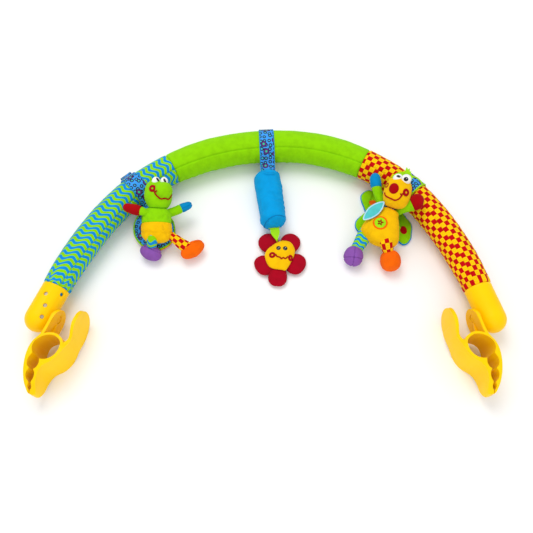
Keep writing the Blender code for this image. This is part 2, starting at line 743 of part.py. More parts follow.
def foot_of(share, length):
    """The point under the strap from which a toy of this length is drawn."""
    return arch_place(share) - up * (length * strap_height_share)


def limb(toy, part, body, places, radius, end_radius, finish, torso, arm_finish, end_name):
    """An arm or leg with its hand or foot: a round root on the torso, in a body of its own."""
    aim, way_out, end_low, end_high = places
    base = radius * limb_root_share
    root = seat(tree_of(torso), way_out, aim, base + limb_gap)
    hinge = empty(f"{toy}_{part}_flap", root, body)
    tip = (end_low + end_high) / 2
    along = (tip - root).normalized()
    side, rise = cross_axes(along)
    rings = [[root - along * base]]
    for turn in (-60, -30):
        angle = math.radians(turn)
        rings.append(circle(root + along * base * math.sin(angle), side, rise, base * math.cos(angle),
                            small_sides))
    steps = len(limb_shares) - 1
    for i, share in enumerate(limb_shares):
        place = root.lerp(tip, i / steps)
        rings.append([place] if share == 0 else circle(place, side, rise, radius * share, small_sides))
    upper = solid(f"{toy}_{part}", hinge, finish[arm_finish], *loft(rings))
    form = swelling(end_low, end_high, end_radius, egg_shares, 1.0, small_sides)
    end = solid(f"{toy}_{end_name}", hinge, finish[finish_of_end(toy, end_name)], *form)
    torso_cutter = grown(torso, limb_gap)
    boolean(upper, grown(end, fit_gap))
    boolean(upper, torso_cutter)
    boolean(end, torso_cutter)
    return hinge


def finish_of_end(toy, end_name):
    hands = {"turtle": {"left_hand": "red", "right_hand": "blue"},
             "butterfly": {"left_hand": "blue", "right_hand": "red"}}
    feet = {"left_foot": "purple", "right_foot": "orange"}
    return feet.get(end_name) or hands[toy][end_name]


def make_limbs(toy, body, origin, length, table_of_limbs, torso, size, finish):
    hinges = []
    for part, rows in table_of_limbs.items():
        places = [origin + Vector(row) * length for row in rows]
        kind = part.split("_")[1]
        cloth = "lime" if kind == "arm" else ("waves" if part == "left_leg" else "checks")
        end_name = part.replace("arm", "hand").replace("leg", "foot")
        end_radius = size[end_name.split("_")[1]]
        hinges.append(limb(toy, part, body, places, size[kind], end_radius, finish, torso, cloth, end_name))
    return hinges


def make_turtle(arch_body, finish):
    centre = strap_frame(turtle_share)[0]
    body = empty("turtle_swing", centre, arch_body)
    origin = foot_of(turtle_share, turtle_length)
    size = {name: share * turtle_length for name, share in turtle_radius_shares.items()}
    at = {name: origin + Vector(row) * turtle_length for name, row in turtle_place_shares.items()}
    whole = swelling(at["neck"], at["seat"], size["torso"], turtle_torso_shares, turtle_torso_depth_share)
    torso = solid("turtle_torso", body, finish["lime"], *whole)
    torso_cutter = grown(torso, fit_gap)
    belly = solid("turtle_belly", body, finish["yellow"], *whole)
    line = at["seat"] - at["neck"]
    waist = at["neck"] + line * turtle_waist_share
    line = line.normalized()
    below = guide("turtle_below", body, waist, line, (-fit_gap / 2, turtle_length), turtle_length)
    above = guide("turtle_above", body, waist, -line, (-fit_gap / 2, turtle_length), turtle_length)
    boolean(torso, below)
    boolean(belly, above)
    head_form = swelling(at["chin"], at["crown"], size["head"], turtle_head_shares)
    head = solid("turtle_head", body, finish["lime"], *head_form)
    muzzle_form = swelling(at["muzzle_low"], at["muzzle_high"], size["muzzle"], egg_shares, 1.0,
                           small_sides)
    muzzle = solid("turtle_muzzle_form", body, None, *muzzle_form)
    head_cutter = grown(head, fit_gap)
    muzzle_cutter = grown(muzzle, fit_gap)
    boolean(boolean(head, muzzle, 'UNION'), torso_cutter)
    for side in ("left", "right"):
        ends = perched(head, at[side + "_eye_low"], at[side + "_eye_high"], eye_lift)
        eye = solid(f"turtle_{side}_eye", body, finish["white"],
                    *swelling(*ends, size["eye"], small_egg_shares, 1.0, small_sides))
        boolean(boolean(eye, head_cutter), muzzle_cutter)
    shell_form = swelling(at["shell_high"], at["shell_low"], size["shell"], egg_shares,
                          turtle_shell_depth_share)
    shell = solid("turtle_shell", body, finish["rings"], *shell_form)
    boolean(shell, torso_cutter)
    reach = (at["neck"] - origin).xy.length
    band = strap("turtle_strap", body, finish, turtle_share, turtle_strap_width, reach, tab=tab_length)
    boolean(boolean(band, torso_cutter), head_cutter)
    whole_torso = solid("turtle_torso_form", body, None, *whole)
    whole_torso.display_type = 'WIRE'
    whole_torso.hide_render = True
    hinges = make_limbs("turtle", body, origin, turtle_length, turtle_limb_shares, whole_torso, size,
                        finish)
    for name in ("turtle_left_foot", "turtle_right_foot"):
        boolean(shell, grown(bpy.data.objects[name], fit_gap))
    return [body] + hinges


def make_flyer(arch_body, finish):
    centre = strap_frame(flyer_share)[0]
    body = empty("butterfly_swing", centre, arch_body)
    origin = foot_of(flyer_share, flyer_length)
    size = {name: share * flyer_length for name, share in flyer_radius_shares.items()}
    at = {name: origin + Vector(row) * flyer_length for name, row in flyer_place_shares.items()}
    form = swelling(at["neck"], at["seat"], size["torso"], flyer_torso_shares, flyer_torso_depth_share)
    torso = solid("butterfly_torso", body, finish["yellow"], *form)
    torso_cutter = grown(torso, fit_gap)
    head = solid("butterfly_head", body, finish["yellow"],
                 *swelling(at["chin"], at["crown"], size["head"], flyer_head_shares))
    head_cutter = grown(head, fit_gap)
    boolean(head, torso_cutter)
    eye_cutters = {}
    for side in ("left", "right"):
        ends = perched(head, at[side + "_eye_low"], at[side + "_eye_high"], eye_lift)
        form = swelling(*ends, size["eye"], small_egg_shares, 1.0, small_sides)
        eye = solid(f"butterfly_{side}_eye", body, finish["white"], *form)
        eye_cutters[side] = grown(eye, fit_gap)
        boolean(eye, head_cutter)
    nose = swelling(*perched(head, at["nose_low"], at["nose_high"], nose_lift), size["nose"],
                    small_egg_shares, flyer_nose_depth_share, small_sides)
    boolean(solid("butterfly_nose", body, finish["red"], *nose), head_cutter)
    tuft = swelling(at["tuft_low"], at["tuft_high"], size["tuft"], flyer_tuft_shares, 0.6, small_sides)
    tuft_item = boolean(solid("butterfly_tuft", body, finish["lime"], *tuft), head_cutter)
    for side in ("left", "right"):
        boolean(tuft_item, eye_cutters[side])
    badge = swelling(*perched(torso, at["badge_low"], at["badge_high"], badge_lift), size["badge"],
                     egg_shares, flyer_badge_depth_share)
    boolean(solid("butterfly_badge", body, finish["orange"], *badge), torso_cutter)
    tag = swelling(*perched(torso, at["tag_low"], at["tag_high"], badge_lift), size["tag"],
                   small_egg_shares, flyer_tag_depth_share, small_sides)
    boolean(solid("butterfly_tag", body, finish["teal"], *tag), torso_cutter)
    reach = (at["neck"] - origin).xy.length
    band = strap("butterfly_strap", body, finish, flyer_share, flyer_strap_width, reach)
    boolean(boolean(band, torso_cutter), head_cutter)
    hinges = [body]
    line = (at["seat"] - at["neck"]).to_2d().normalized()
    aside = Vector((-line.y, line.x))
    for side, sign in (("left", -1), ("right", 1)):
        hinges.append(make_wing(side, sign, body, finish, origin, at, aside, torso))
    return hinges + make_limbs("butterfly", body, origin, flyer_length, flyer_limb_shares, torso, size,
                               finish)


def make_wing(side, sign, body, finish, origin, at, aside, torso):
    """A flat stuffed wing that hinges along its seam under the torso, with its outer edges on the table."""
    edge = (aside * sign * (wing_root_gap / 2)).to_3d()
    seam = []
    for share in wing_seam_shares:
        above = at["neck"].lerp(at["seat"], share) + edge
        seam.append(seat(tree_of(torso), Vector((above.x, above.y, -wing_thickness)), above, fit_gap))
    outline = [origin + Vector((*row, 0)) * flyer_length for row in flyer_wing_shares[side]]
    outline = [p + up * (wing_lift + wing_thickness) for p in outline]
    loop = [seam[0]] + outline + [seam[1]]
    hinge = empty(f"butterfly_{side}_wing_flap", (seam[0] + seam[1]) / 2, body)
    centre = sum(loop, Vector((0, 0, 0))) / len(loop)
    rings = []
    for drop, inset in ((1.0, wing_thickness / 3), (0.5, 0.0), (0.0, wing_thickness / 3)):
        rings.append([p + (centre - p).normalized() * inset - up * (wing_thickness * drop) for p in loop])
    wing = solid(f"butterfly_{side}_wing", hinge, finish["lime"], *loft(rings))
    boolean(wing, grown(torso, fit_gap))
    return hinge


def make_pendant(arch_body, finish):
    centre, along, out = strap_frame(pendant_share)
    body = empty("pendant_swing", centre, arch_body)
    origin = foot_of(pendant_share, pendant_length)
    at = {name: origin + Vector(row) * pendant_length for name, row in pendant_place_shares.items()}
    line = (at["pouch_end"] - at["pouch_top"]).normalized()
    side, rise = cross_axes(line)
    length = (at["pouch_end"] - at["pouch_top"]).length
    steps = len(pouch_shares) - 1
    rows = [(length * (1 - math.cos(math.pi * i / steps)) / 2, share)
            for i, share in enumerate(pouch_shares)]
    outer = [circle(at["pouch_top"] + line * reach, side, rise, pouch_radius * share, soft_sides)
             for reach, share in rows]
    inner = [[at["pouch_top"] + line * pouch_wall]]
    for reach, share in rows[2:]:
        inner.append(circle(at["pouch_top"] + line * reach, side, rise, pouch_radius * share - pouch_wall,
                            soft_sides))
    pouch_form = solid("pouch_form", body, None, *loft(outer))
    pouch_form.display_type = 'WIRE'
    pouch_form.hide_render = True
    neck = seat(tree_of(pouch_form), centre, at["pouch_aim"], tail_wall / 2 + hinge_gap)
    skew = side.dot(out) / side.dot(along)
    strap("pendant_strap", body, finish, pendant_share, pendant_strap_width, (centre - neck).dot(out), skew)
    pouch_body = empty("chime_pouch_swing", neck, body)
    points, faces = loft(outer + inner[::-1])
    faces = [f for f in faces if len(f) < soft_sides or f[0] == 0]
    solid("chime_pouch", pouch_body, finish["blue"], points, faces)
    plug_radius = pouch_radius * pouch_shares[-1] - pouch_wall - fit_gap
    plug = [(length - pouch_end_wall, plug_radius), (length, plug_radius)]
    turned("pouch_end", pouch_body, finish["blue"], at["pouch_top"], line, plug, soft_sides)
    chime_length = length * chime_length_share
    bore = (pouch_radius * pouch_shares[-1] - pouch_wall) * math.cos(math.pi / soft_sides)
    floor_gap = bore - chime_radius - fit_gap
    chime_place = at["pouch_top"] + line * (pouch_wall + chime_radius) - rise * floor_gap
    outside = [(0, chime_radius), (chime_length, chime_radius)]
    inside = [(reach, radius - chime_wall) for reach, radius in outside]
    turned("chime_tube", pouch_body, finish["metal"], chime_place, line, outside, soft_sides, inside)
    return [body, pouch_body] + make_flower(pouch_body, finish, at, pouch_form, side)


def make_flower(pouch_body, finish, at, pouch_form, side):
    half = ribbon_wall / 2
    face_low = at["flower"] - Vector((0, flower_face_radius, 0)) + up * face_lift
    face_high = at["flower"] + Vector((0, flower_face_radius, 0)) + up * face_lift
    form = swelling(face_low, face_high, flower_face_radius, egg_shares, flower_face_depth_share)
    root = seat(tree_of(pouch_form), at["ribbon_low"],
                at["ribbon_high"] + (at["ribbon_high"] - at["ribbon_low"]),
                half + hinge_gap)
    ribbon_body = empty("ribbon_swing", root, pouch_body)
    guide_face = solid("flower_face_form", ribbon_body, None, *form)
    guide_face.display_type = 'WIRE'
    guide_face.hide_render = True
    tip = seat(tree_of(guide_face), root, at["flower"] + up * 2 * face_lift, half + fit_gap)
    flower_body = empty("flower_swing", tip, ribbon_body)
    face = solid("flower_face", flower_body, finish["yellow"], *form)
    along = (tip - root).normalized()
    rise = side.cross(along).normalized()
    reach = (tip - root).length
    loop = arc(half, math.pi / 2, 3 * math.pi / 2, 4)
    loop += [(reach + x, y) for x, y in arc(half, -math.pi / 2, math.pi / 2, 4)]
    low = [root + along * x + rise * y - side * ribbon_width / 2 for x, y in loop]
    high = [root + along * x + rise * y + side * ribbon_width / 2 for x, y in loop]
    ribbon = solid("flower_ribbon", ribbon_body, finish["lime"], *loft([low, high]))
    cutters = [grown(face, fit_gap), grown(ribbon, fit_gap)]
    for k, angle in enumerate(petal_angles):
        way = Vector((math.cos(angle), math.sin(angle), 0))
        form = swelling(at["flower"] + way * petal_inner, at["flower"] + way * petal_outer, petal_radius,
                        egg_shares, petal_depth_share, small_sides)
        petal = solid(f"flower_petal_{k + 1}", flower_body, finish["red"], *form)
        own_cutter = grown(petal, fit_gap)
        for cutter in cutters:
            boolean(petal, cutter)
        cutters.append(own_cutter)
    return [ribbon_body, flower_body]


def centre_on_table(root):
    """The origin is the middle of the whole part's box, on the table."""
    bpy.context.view_layer.update()
    graph = bpy.context.evaluated_depsgraph_get()
    places = []
    for item in bpy.data.objects:
        if item.type == 'MESH' and not item.hide_render:
            shape = item.evaluated_get(graph)
            places += [shape.matrix_world @ vertex.co for vertex in shape.data.vertices]
    low = Vector([min(p[k] for p in places) for k in range(3)])
    high = Vector([max(p[k] for p in places) for k in range(3)])
    root.location = Vector((-(low.x + high.x) / 2, -(low.y + high.y) / 2, -low.z))
    bpy.context.view_layer.update()
    return low, high


def build():
    clear_scene()
    finish = finishes()
    root = empty("stroller_arch", table)
    make_arch(root, finish)
    hinges = []
    for side, sign, holes_up in (("left", -1, True), ("right", 1, False)):
        pivot, inner = make_socket(side + "_socket", sign, root, finish, holes_up)
        make_swivel_pin(side + "_swivel_pin", root, finish, pivot, inner)
        hinges += make_clamp(side, sign, root, finish, pivot, inner)
    hinges += make_turtle(root, finish)
    hinges += make_pendant(root, finish)
    hinges += make_flyer(root, finish)
    low, high = centre_on_table(root)
    print("size", [round(v, 4) for v in high - low])
    for hinge in hinges:
        print("axis", hinge.name, [round(v, 5) for v in hinge.matrix_world.translation])


build()
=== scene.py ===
import json
import math

import bmesh
import bpy
from mathutils import Matrix, Vector, noise
from mathutils.bvhtree import BVHTree


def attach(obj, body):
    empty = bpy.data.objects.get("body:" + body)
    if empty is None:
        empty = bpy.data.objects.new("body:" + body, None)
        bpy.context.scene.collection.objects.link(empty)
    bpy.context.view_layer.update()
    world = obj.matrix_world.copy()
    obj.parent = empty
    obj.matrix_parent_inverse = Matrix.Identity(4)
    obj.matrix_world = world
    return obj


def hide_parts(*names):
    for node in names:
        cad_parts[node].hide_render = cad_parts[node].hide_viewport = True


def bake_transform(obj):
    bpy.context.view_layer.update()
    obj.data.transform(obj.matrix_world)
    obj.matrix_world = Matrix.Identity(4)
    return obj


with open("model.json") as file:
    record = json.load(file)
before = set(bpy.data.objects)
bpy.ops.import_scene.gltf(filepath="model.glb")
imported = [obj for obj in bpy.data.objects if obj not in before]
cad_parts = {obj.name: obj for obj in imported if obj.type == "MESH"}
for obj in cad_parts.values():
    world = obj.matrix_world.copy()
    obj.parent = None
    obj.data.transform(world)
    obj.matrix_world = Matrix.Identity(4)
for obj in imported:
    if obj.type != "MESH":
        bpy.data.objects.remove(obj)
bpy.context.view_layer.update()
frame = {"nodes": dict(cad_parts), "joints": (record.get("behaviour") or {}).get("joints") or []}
up = Vector((0, 0, 1))
tau = 2 * math.pi
tiny = 1e-6


# Camera, lamps, and the tone of the world and the floor
view = {
    "eye": (0.000981, -0.303374, 0.600), "aim": (0.000981, -0.010734, 0.0), "lens": 38.03, "key": 7.4,
    "fill": 4.4, "world": 0.80, "mirror": 0.5, "floor": 0.93,
}


def setCamera():
    lens = bpy.data.cameras.new("viewer")
    lens.lens = view["lens"]
    lens.sensor_width = 36
    lens.clip_start = 0.01
    camera = bpy.data.objects.new("viewer", lens)
    bpy.context.scene.collection.objects.link(camera)
    camera.location = view["eye"]
    aim = Vector(view["aim"]) - Vector(view["eye"])
    camera.rotation_euler = aim.to_track_quat('-Z', 'Y').to_euler()
    bpy.context.scene.camera = camera


def setLamp(name, place, aim, size, power):
    lamp = bpy.data.lights.new(name, 'AREA')
    lamp.shape = 'DISK'
    lamp.size = size
    lamp.energy = power
    item = bpy.data.objects.new(name, lamp)
    bpy.context.scene.collection.objects.link(item)
    item.location = place
    item.rotation_euler = (Vector(aim) - Vector(place)).to_track_quat('-Z', 'Y').to_euler()


# Shader maths
class Value:  # a node's output, so that shader maths reads as maths
    def __init__(self, finish, socket):
        self.finish, self.socket = finish, socket

    def math(self, kind, other=None, flip=False):
        values = {0: self} if other is None else ({0: other, 1: self} if flip else {0: self, 1: other})
        return self.finish.node("ShaderNodeMath", {"operation": kind}, values)

    def __add__(self, other): return self.math('ADD', other)
    def __sub__(self, other): return self.math('SUBTRACT', other)
    def __rsub__(self, other): return self.math('SUBTRACT', other, True)
    def __mul__(self, other): return self.math('MULTIPLY', other)
    def __abs__(self): return self.math('ABSOLUTE')
    def sine(self): return self.math('SINE')
    def cosine(self): return self.math('COSINE')

    def step(self, low, high):  # 0 below low, 1 above high, smooth between
        return self.finish.node("ShaderNodeMapRange", {"interpolation_type": 'SMOOTHSTEP'},
                                {"Value": self, "From Min": low, "From Max": high})


class Finish:
    def __init__(self, name):
        self.material = bpy.data.materials.new(name)
        self.material.use_nodes = True
        self.tree = self.material.node_tree
        self.shader = self.tree.nodes["Principled BSDF"]

    def node(self, kind, settings=None, values=None, output=0):
        item = self.tree.nodes.new(kind)
        for word, value in (settings or {}).items():
            setattr(item, word, value)
        for key, value in (values or {}).items():
            self.feed(item.inputs[key], value)
        return Value(self, item.outputs[output])

    def feed(self, socket, value):
        if isinstance(value, Value):
            self.tree.links.new(value.socket, socket)
        elif hasattr(value, "__len__") and len(value) == 3 and socket.type == 'RGBA':
            socket.default_value = (*value, 1.0)
        else:
            socket.default_value = value

    def places(self):
        return self.node("ShaderNodeTexCoord", output="Object")

    def cloth(self):
        return self.node("ShaderNodeTexCoord", output="UV")

    def parts(self, vector):
        item = self.node("ShaderNodeSeparateXYZ", values={"Vector": vector})
        outputs = item.socket.node.outputs
        return [Value(self, outputs[k]) for k in range(3)]

    def noise(self, vector, scale, detail=2.0, rough=0.5):
        return self.node("ShaderNodeTexNoise", values={"Vector": vector, "Scale": scale, "Detail": detail,
                                                       "Roughness": rough})

    def mix(self, mask, first, second):
        return self.node("ShaderNodeMix", {"data_type": 'RGBA'}, {0: mask, 6: first, 7: second}, 2)

    def scaled(self, vector, factor):
        return self.node("ShaderNodeVectorMath", {"operation": 'MULTIPLY'}, {0: vector, 1: factor})

    def bump(self, height, strength, distance):
        return self.node("ShaderNodeBump", values={"Height": height, "Strength": strength,
                                                   "Distance": distance})

    def wear(self, **values):
        for word, value in values.items():
            self.feed(self.shader.inputs[word.replace("_", " ")], value)
        return self


def rgb(code):
    parts = [int(code[i:i + 2], 16) / 255 for i in (0, 2, 4)]
    return tuple(c / 12.92 if c <= 0.04045 else ((c + 0.055) / 1.055) ** 2.4 for c in parts)


def shade(colour, factor):
    return tuple(min(1.0, c * factor) for c in colour)


# Cloth finishes: colour by patches, a fine knit, and a soft sheen
hues = {
    "lime": "8CD400", "sea": "0A8CDC", "hand": "0088C4", "red": "A80008", "check": "C4000C", "gold": "FFD000",
    "goldDark": "D89000", "yellow": "F4BE00", "sky": "009ADC", "skyDark": "0078B4", "crimson": "A8001E",
    "purple": "8A54AA", "orange": "F86800", "white": "F2F2F0", "ringBase": "3C9CF0", "ringDark": "301410",
    "ringMid": "38C4DC", "ringGreen": "38C890", "ringPlum": "5A2C80", "plastic": "FFCE00", "stitch": "A6000C",
    "ink": "0A0A12", "teal": "50C4C4", "tagEdge": "B4DCF0", "bright": "A0E010",
}
weave = {
    "knit": 1500.0, "patch": 120.0, "depth": 0.00012, "strength": 0.35, "sheen": 0.03, "sheenRough": 0.5,
    "shine": 0.10, "dark": 0.78, "lean": 0.35, "warp": 2.2, "weft": 2.0, "rows": 0.35, "fuzz": 0.9,
}


def clothFinish(name, colour, pattern=None, knit=1.0, strength=1.0, rough=0.88):
    finish = Finish(name)
    place = finish.places()
    patches = finish.noise(place, weave["patch"], detail=3.0)
    fuzz = finish.noise(place, weave["knit"])
    base = pattern(finish) if pattern else colour
    dark = finish.mix(1.0, base, (weave["dark"],) * 3)
    dark.socket.node.blend_type = 'MULTIPLY'
    tone = finish.mix(patches.step(0.35, 0.7) * 0.45 + fuzz * 0.35, base, dark)
    x, y, z = finish.parts(place)
    warp = ((x + y * weave["lean"]) * (weave["knit"] * weave["warp"] * knit)).sine()
    weft = ((y - x * weave["lean"] + z) * (weave["knit"] * weave["weft"] * knit)).sine()
    height = warp * weft * weave["rows"] + fuzz * weave["fuzz"]
    return finish.wear(Base_Color=tone, Roughness=fuzz * 0.12 + (rough - 0.06),
                       Normal=finish.bump(height, weave["strength"] * strength, weave["depth"]),
                       Sheen_Weight=weave["sheen"], Sheen_Roughness=weave["sheenRough"],
                       Specular_IOR_Level=weave["shine"]).material


# Prints, drawn in metres on each piece's own cloth map (x along the piece, y across it)
prints = {
    "stripe": 0.0075, "swing": 0.0040, "wave": 0.0155, "slant": 0.26, "soft": 0.14, "check": 0.0061,
    "checkAcross": 0.0055, "checkRows": 20, "square": (0.62, 0.70, 0.84, 0.90), "squareTone": 0.45,
    "ring": 0.0056, "ringSize": 0.00172, "ringLine": 0.00056, "ringEdge": 0.00012, "ringSpread": 0.45,
    "medal": 0.0175, "medalSpread": 0.55, "medalHeart": 0.0012, "medalDisc": 0.0030, "medalRim": 0.0036,
    "medalEdge": 0.0003,
}


def wavePrint(period=prints["stripe"], swing=prints["swing"], wave=prints["wave"], slant=prints["slant"]):
    def draw(finish):
        x, y, _ = finish.parts(finish.cloth())
        sway = (1 - (y * (tau / wave)).cosine()) * (swing / 2) - y * slant
        line = ((x - sway) * (tau / period)).sine()
        return finish.mix(line.step(-prints["soft"], prints["soft"]), rgb(hues["sea"]), rgb(hues["lime"]))
    return draw


def checkPrint(along=prints["check"], across=prints["checkAcross"]):
    def draw(finish):
        x, y, _ = finish.parts(finish.cloth())
        line = (x * (math.pi / along)).sine() * (y * (math.pi / across)).sine()
        start, full, fade, end = prints["square"]
        small = line.step(start, full) * (1 - line.step(fade, end)) * prints["squareTone"]
        gold = finish.mix(small, rgb(hues["gold"]), rgb(hues["goldDark"]))
        return finish.mix(line.step(-0.05, 0.05), rgb(hues["check"]), gold)
    return draw


def ringPrint(size=prints["ring"]):
    def draw(finish):
        def cells(width, spread):
            item = finish.node("ShaderNodeTexVoronoi", {"voronoi_dimensions": '2D'},
                               {"Vector": finish.cloth(), "Scale": 1 / width, "Randomness": spread})
            return item * width, finish.parts(Value(finish, item.socket.node.outputs["Color"]))

        away, (_, other, _) = cells(size, prints["ringSpread"])
        reach = (other * 0.25 + 0.88) * prints["ringSize"]
        inside = 1 - (away - reach * 0.45).step(-prints["ringEdge"], prints["ringEdge"])
        heart = finish.mix(other.step(0.4, 0.6), rgb(hues["ringMid"]), rgb(hues["ringGreen"]))
        body = finish.mix(inside, rgb(hues["ringBase"]), heart)
        line = abs(away - reach).step(prints["ringLine"] * 1.25, prints["ringLine"] * 0.8)
        shown = finish.mix(line, body, rgb(hues["ringDark"]))
        # a few larger plum rings lie over the small ones
        far, _ = cells(prints["medal"], prints["medalSpread"])

        def beyond(distance):
            return far.step(distance, distance + prints["medalEdge"])

        disc = finish.mix(beyond(prints["medalHeart"]), rgb(hues["ringGreen"]), rgb(hues["ringPlum"]))
        disc = finish.mix(beyond(prints["medalDisc"]), disc, rgb(hues["ringDark"]))
        return finish.mix(beyond(prints["medalRim"]), disc, shown)
    return draw


# Other finishes: how fine and how deep their grain is
gloss = {
    "flow": 45.0, "grain": 1800.0, "rub": (900.0, 160.0, 300.0), "plasticRough": 0.30, "plasticBump": 0.12,
    "paint": 900.0, "paintBump": 0.15, "skin": 0.00005, "thread": 9000.0, "threadGrain": 700.0,
    "threadRough": 0.55, "threadBump": 0.5, "threadDepth": 0.00012,
}


def plasticFinish(name, colour):  # moulded plastic: even gloss, faint flow marks, slight rub marks
    finish = Finish(name)
    place = finish.places()
    flow = finish.noise(place, gloss["flow"])
    grain = finish.noise(place, gloss["grain"])
    rub = finish.noise(finish.scaled(place, gloss["rub"]), 1.0, detail=3.0)
    tone = finish.mix(flow.step(0.3, 0.8) * 0.5, colour, shade(colour, 0.90))
    normal = finish.bump(grain * 0.5 + rub * 0.3, gloss["plasticBump"], gloss["skin"])
    return finish.wear(Base_Color=tone, Roughness=rub * 0.14 + gloss["plasticRough"], Normal=normal,
                       Specular_IOR_Level=weave["shine"]).material


def paintFinish(name, colour, rough, metallic=0.0, coat=0.0):
    finish = Finish(name)
    grain = finish.noise(finish.places(), gloss["paint"], detail=3.0)
    return finish.wear(Base_Color=finish.mix(grain * 0.5, colour, shade(colour, 0.82)),
                       Roughness=grain * 0.2 + rough, Metallic=metallic, Coat_Weight=coat,
                       Normal=finish.bump(grain, gloss["paintBump"], gloss["skin"])).material


def threadFinish(name, colour):  # embroidery: short parallel threads with a silky light
    finish = Finish(name)
    x, y, z = finish.parts(finish.places())
    threads = ((x * 0.8 + y * 0.6 + z * 0.5) * gloss["thread"]).sine()
    grain = finish.noise(finish.places(), gloss["threadGrain"])
    return finish.wear(Base_Color=finish.mix(grain * 0.6, colour, shade(colour, 0.75)),
                       Roughness=gloss["threadRough"],
                       Normal=finish.bump(threads * 0.6 + grain, gloss["threadBump"], gloss["threadDepth"]),
                       Specular_IOR_Level=weave["shine"]).material


finishes = {}


def makeFinishes():
    made = {
        "waves": clothFinish("waves_cloth", None, wavePrint()),
        "checks": clothFinish("checks_cloth", None, checkPrint()),
        "legWaves": clothFinish("leg_stripes_cloth", None,
                                wavePrint(period=0.0051, swing=0.0016, wave=0.012, slant=0.0)),
        "legChecks": clothFinish("leg_checks_cloth", None, checkPrint(along=0.0053, across=0.0053)),
        "rings": clothFinish("rings_cloth", None, ringPrint(), rough=0.7),
        "plastic": plasticFinish("yellow_plastic_skin", rgb(hues["plastic"])),
        "eye": clothFinish("eye_cloth", rgb(hues["white"]), knit=1.4, strength=0.6, rough=0.7),
        "ink": paintFinish("pupil_black", rgb(hues["ink"]), rough=0.4, coat=0.1),
        # painted highlight: the pale paint of the glints laid on the pupils, standing in for light reflected
        # off them
        "glint": paintFinish("pupil_painted_glint", (0.9, 0.9, 0.9), rough=0.3),
        "stitch": threadFinish("red_thread", rgb(hues["stitch"])),
        "tag": clothFinish("tag_cloth", rgb(hues["teal"]), knit=0.6, strength=0.5, rough=0.6),
        "tagEdge": clothFinish("tag_binding", rgb(hues["tagEdge"]), rough=0.6),
        "metal": paintFinish("chime_steel", (0.72, 0.72, 0.75), rough=0.22, metallic=1.0),
        "core": paintFinish("core_plastic_skin", (0.6, 0.6, 0.57), rough=0.45),
    }
    for word in ("lime", "bright", "yellow", "sky", "skyDark", "crimson", "purple", "orange", "red", "sea",
                 "hand"):
        made[word] = clothFinish(word + "_plush", rgb(hues[word]))
    made["ribbon"] = clothFinish("ribbon_satin", rgb(hues["bright"]), knit=0.8, strength=0.5, rough=0.55)
    return made


# Small modelling tools
def bare():
    if bpy.context.object and bpy.context.object.mode != 'OBJECT':
        bpy.ops.object.mode_set(mode='OBJECT')
    bpy.ops.object.select_all(action='DESELECT')


def take(piece):
    bare()
    piece.select_set(True)
    bpy.context.view_layer.objects.active = piece
    return piece


def applied(piece, kind, **settings):
    take(piece)
    change = piece.modifiers.new(kind.lower(), kind)
    for word, value in settings.items():
        setattr(change, word, value)
    bpy.ops.object.modifier_apply(modifier=change.name)
    return piece


def shell(name, points, faces, cloth=None):  # cloth holds one place on the cloth for each face corner
    mesh = bpy.data.meshes.new(name)
    mesh.from_pydata([tuple(p) for p in points], [], faces)
    if cloth:
        layer = mesh.uv_layers.new(name="cloth")
        for spot, place in zip(layer.data, [c for corners in cloth for c in corners]):
            spot.uv = place
    piece = bpy.data.objects.new(name, mesh)
    bpy.context.scene.collection.objects.link(piece)
    return piece


def rolled(name, rings, cloth=None, caps=True):  # rings of equal count joined into a closed skin
    count = len(rings[0])
    points = [p for ring in rings for p in ring]
    faces, corners = [], []
    for i in range(len(rings) - 1):
        for k in range(count):
            j = (k + 1) % count
            faces.append((i * count + k, i * count + j, (i + 1) * count + j, (i + 1) * count + k))
            if cloth:
                corners.append([cloth[i][k], cloth[i][k + 1], cloth[i + 1][k + 1], cloth[i + 1][k]])
    if caps:
        for i in (0, len(rings) - 1):
            centre = sum((Vector(p) for p in rings[i]), Vector()) / count
            points.append(centre)
            for k in range(count):
                j = (k + 1) % count
                faces.append((i * count + k, i * count + j, len(points) - 1))
                if cloth:
                    corners.append([cloth[i][k], cloth[i][k + 1], cloth[i][k]])
    return edited(shell(name, points, faces, corners if cloth else None))


def looped(name, rings):  # a skin whose last ring is its first
    return edited(rolled(name, rings + rings[:1], caps=False), merge=tiny)


def edited(piece, merge=None, lift=None):
    # fills an outline and draws it up, merges places, and turns the faces outward
    take(piece)
    bpy.ops.object.mode_set(mode='EDIT')
    bpy.ops.mesh.select_all(action='SELECT')
    if lift:
        bpy.ops.mesh.edge_face_add()
        bpy.ops.mesh.extrude_region_move(TRANSFORM_OT_translate={"value": tuple(lift)})
        bpy.ops.mesh.select_all(action='SELECT')
    if merge:
        bpy.ops.mesh.remove_doubles(threshold=merge)
    bpy.ops.mesh.normals_make_consistent(inside=False)
    bpy.ops.object.mode_set(mode='OBJECT')
    return piece


def circle(name, sides, radius=1.0, place=(0, 0, 0), turn=(0, 0, 0)):
    # the outline that a piece is drawn from
    bare()
    bpy.ops.mesh.primitive_circle_add(vertices=sides, radius=radius, location=place, rotation=turn)
    piece = bpy.context.object
    piece.name = piece.data.name = name
    return piece


def net(rows, columns):  # faces between rows of points, with each corner's row and column
    faces, corners = [], []
    for i in range(rows - 1):
        for c in range(columns):
            a = i * (columns + 1) + c
            faces.append((a, a + 1, a + columns + 2, a + columns + 1))
            corners.append(((i, c), (i, c + 1), (i + 1, c + 1), (i + 1, c)))
    return faces, corners


def treeOf(piece):
    mesh = piece.data
    return BVHTree.FromPolygons([v.co for v in mesh.vertices], [tuple(p.vertices) for p in mesh.polygons])


def finished(piece, finish, slot, body, nodes=(), angle=50):
    piece.data.materials.clear()
    piece.data.materials.append(finishes[finish])
    take(piece)
    bpy.ops.object.shade_smooth_by_angle(angle=math.radians(angle))
    if isinstance(body, str):
        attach(piece, body)
    else:
        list(body)
        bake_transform(piece)
    if nodes:
        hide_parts(*nodes)
    bare()
    return piece


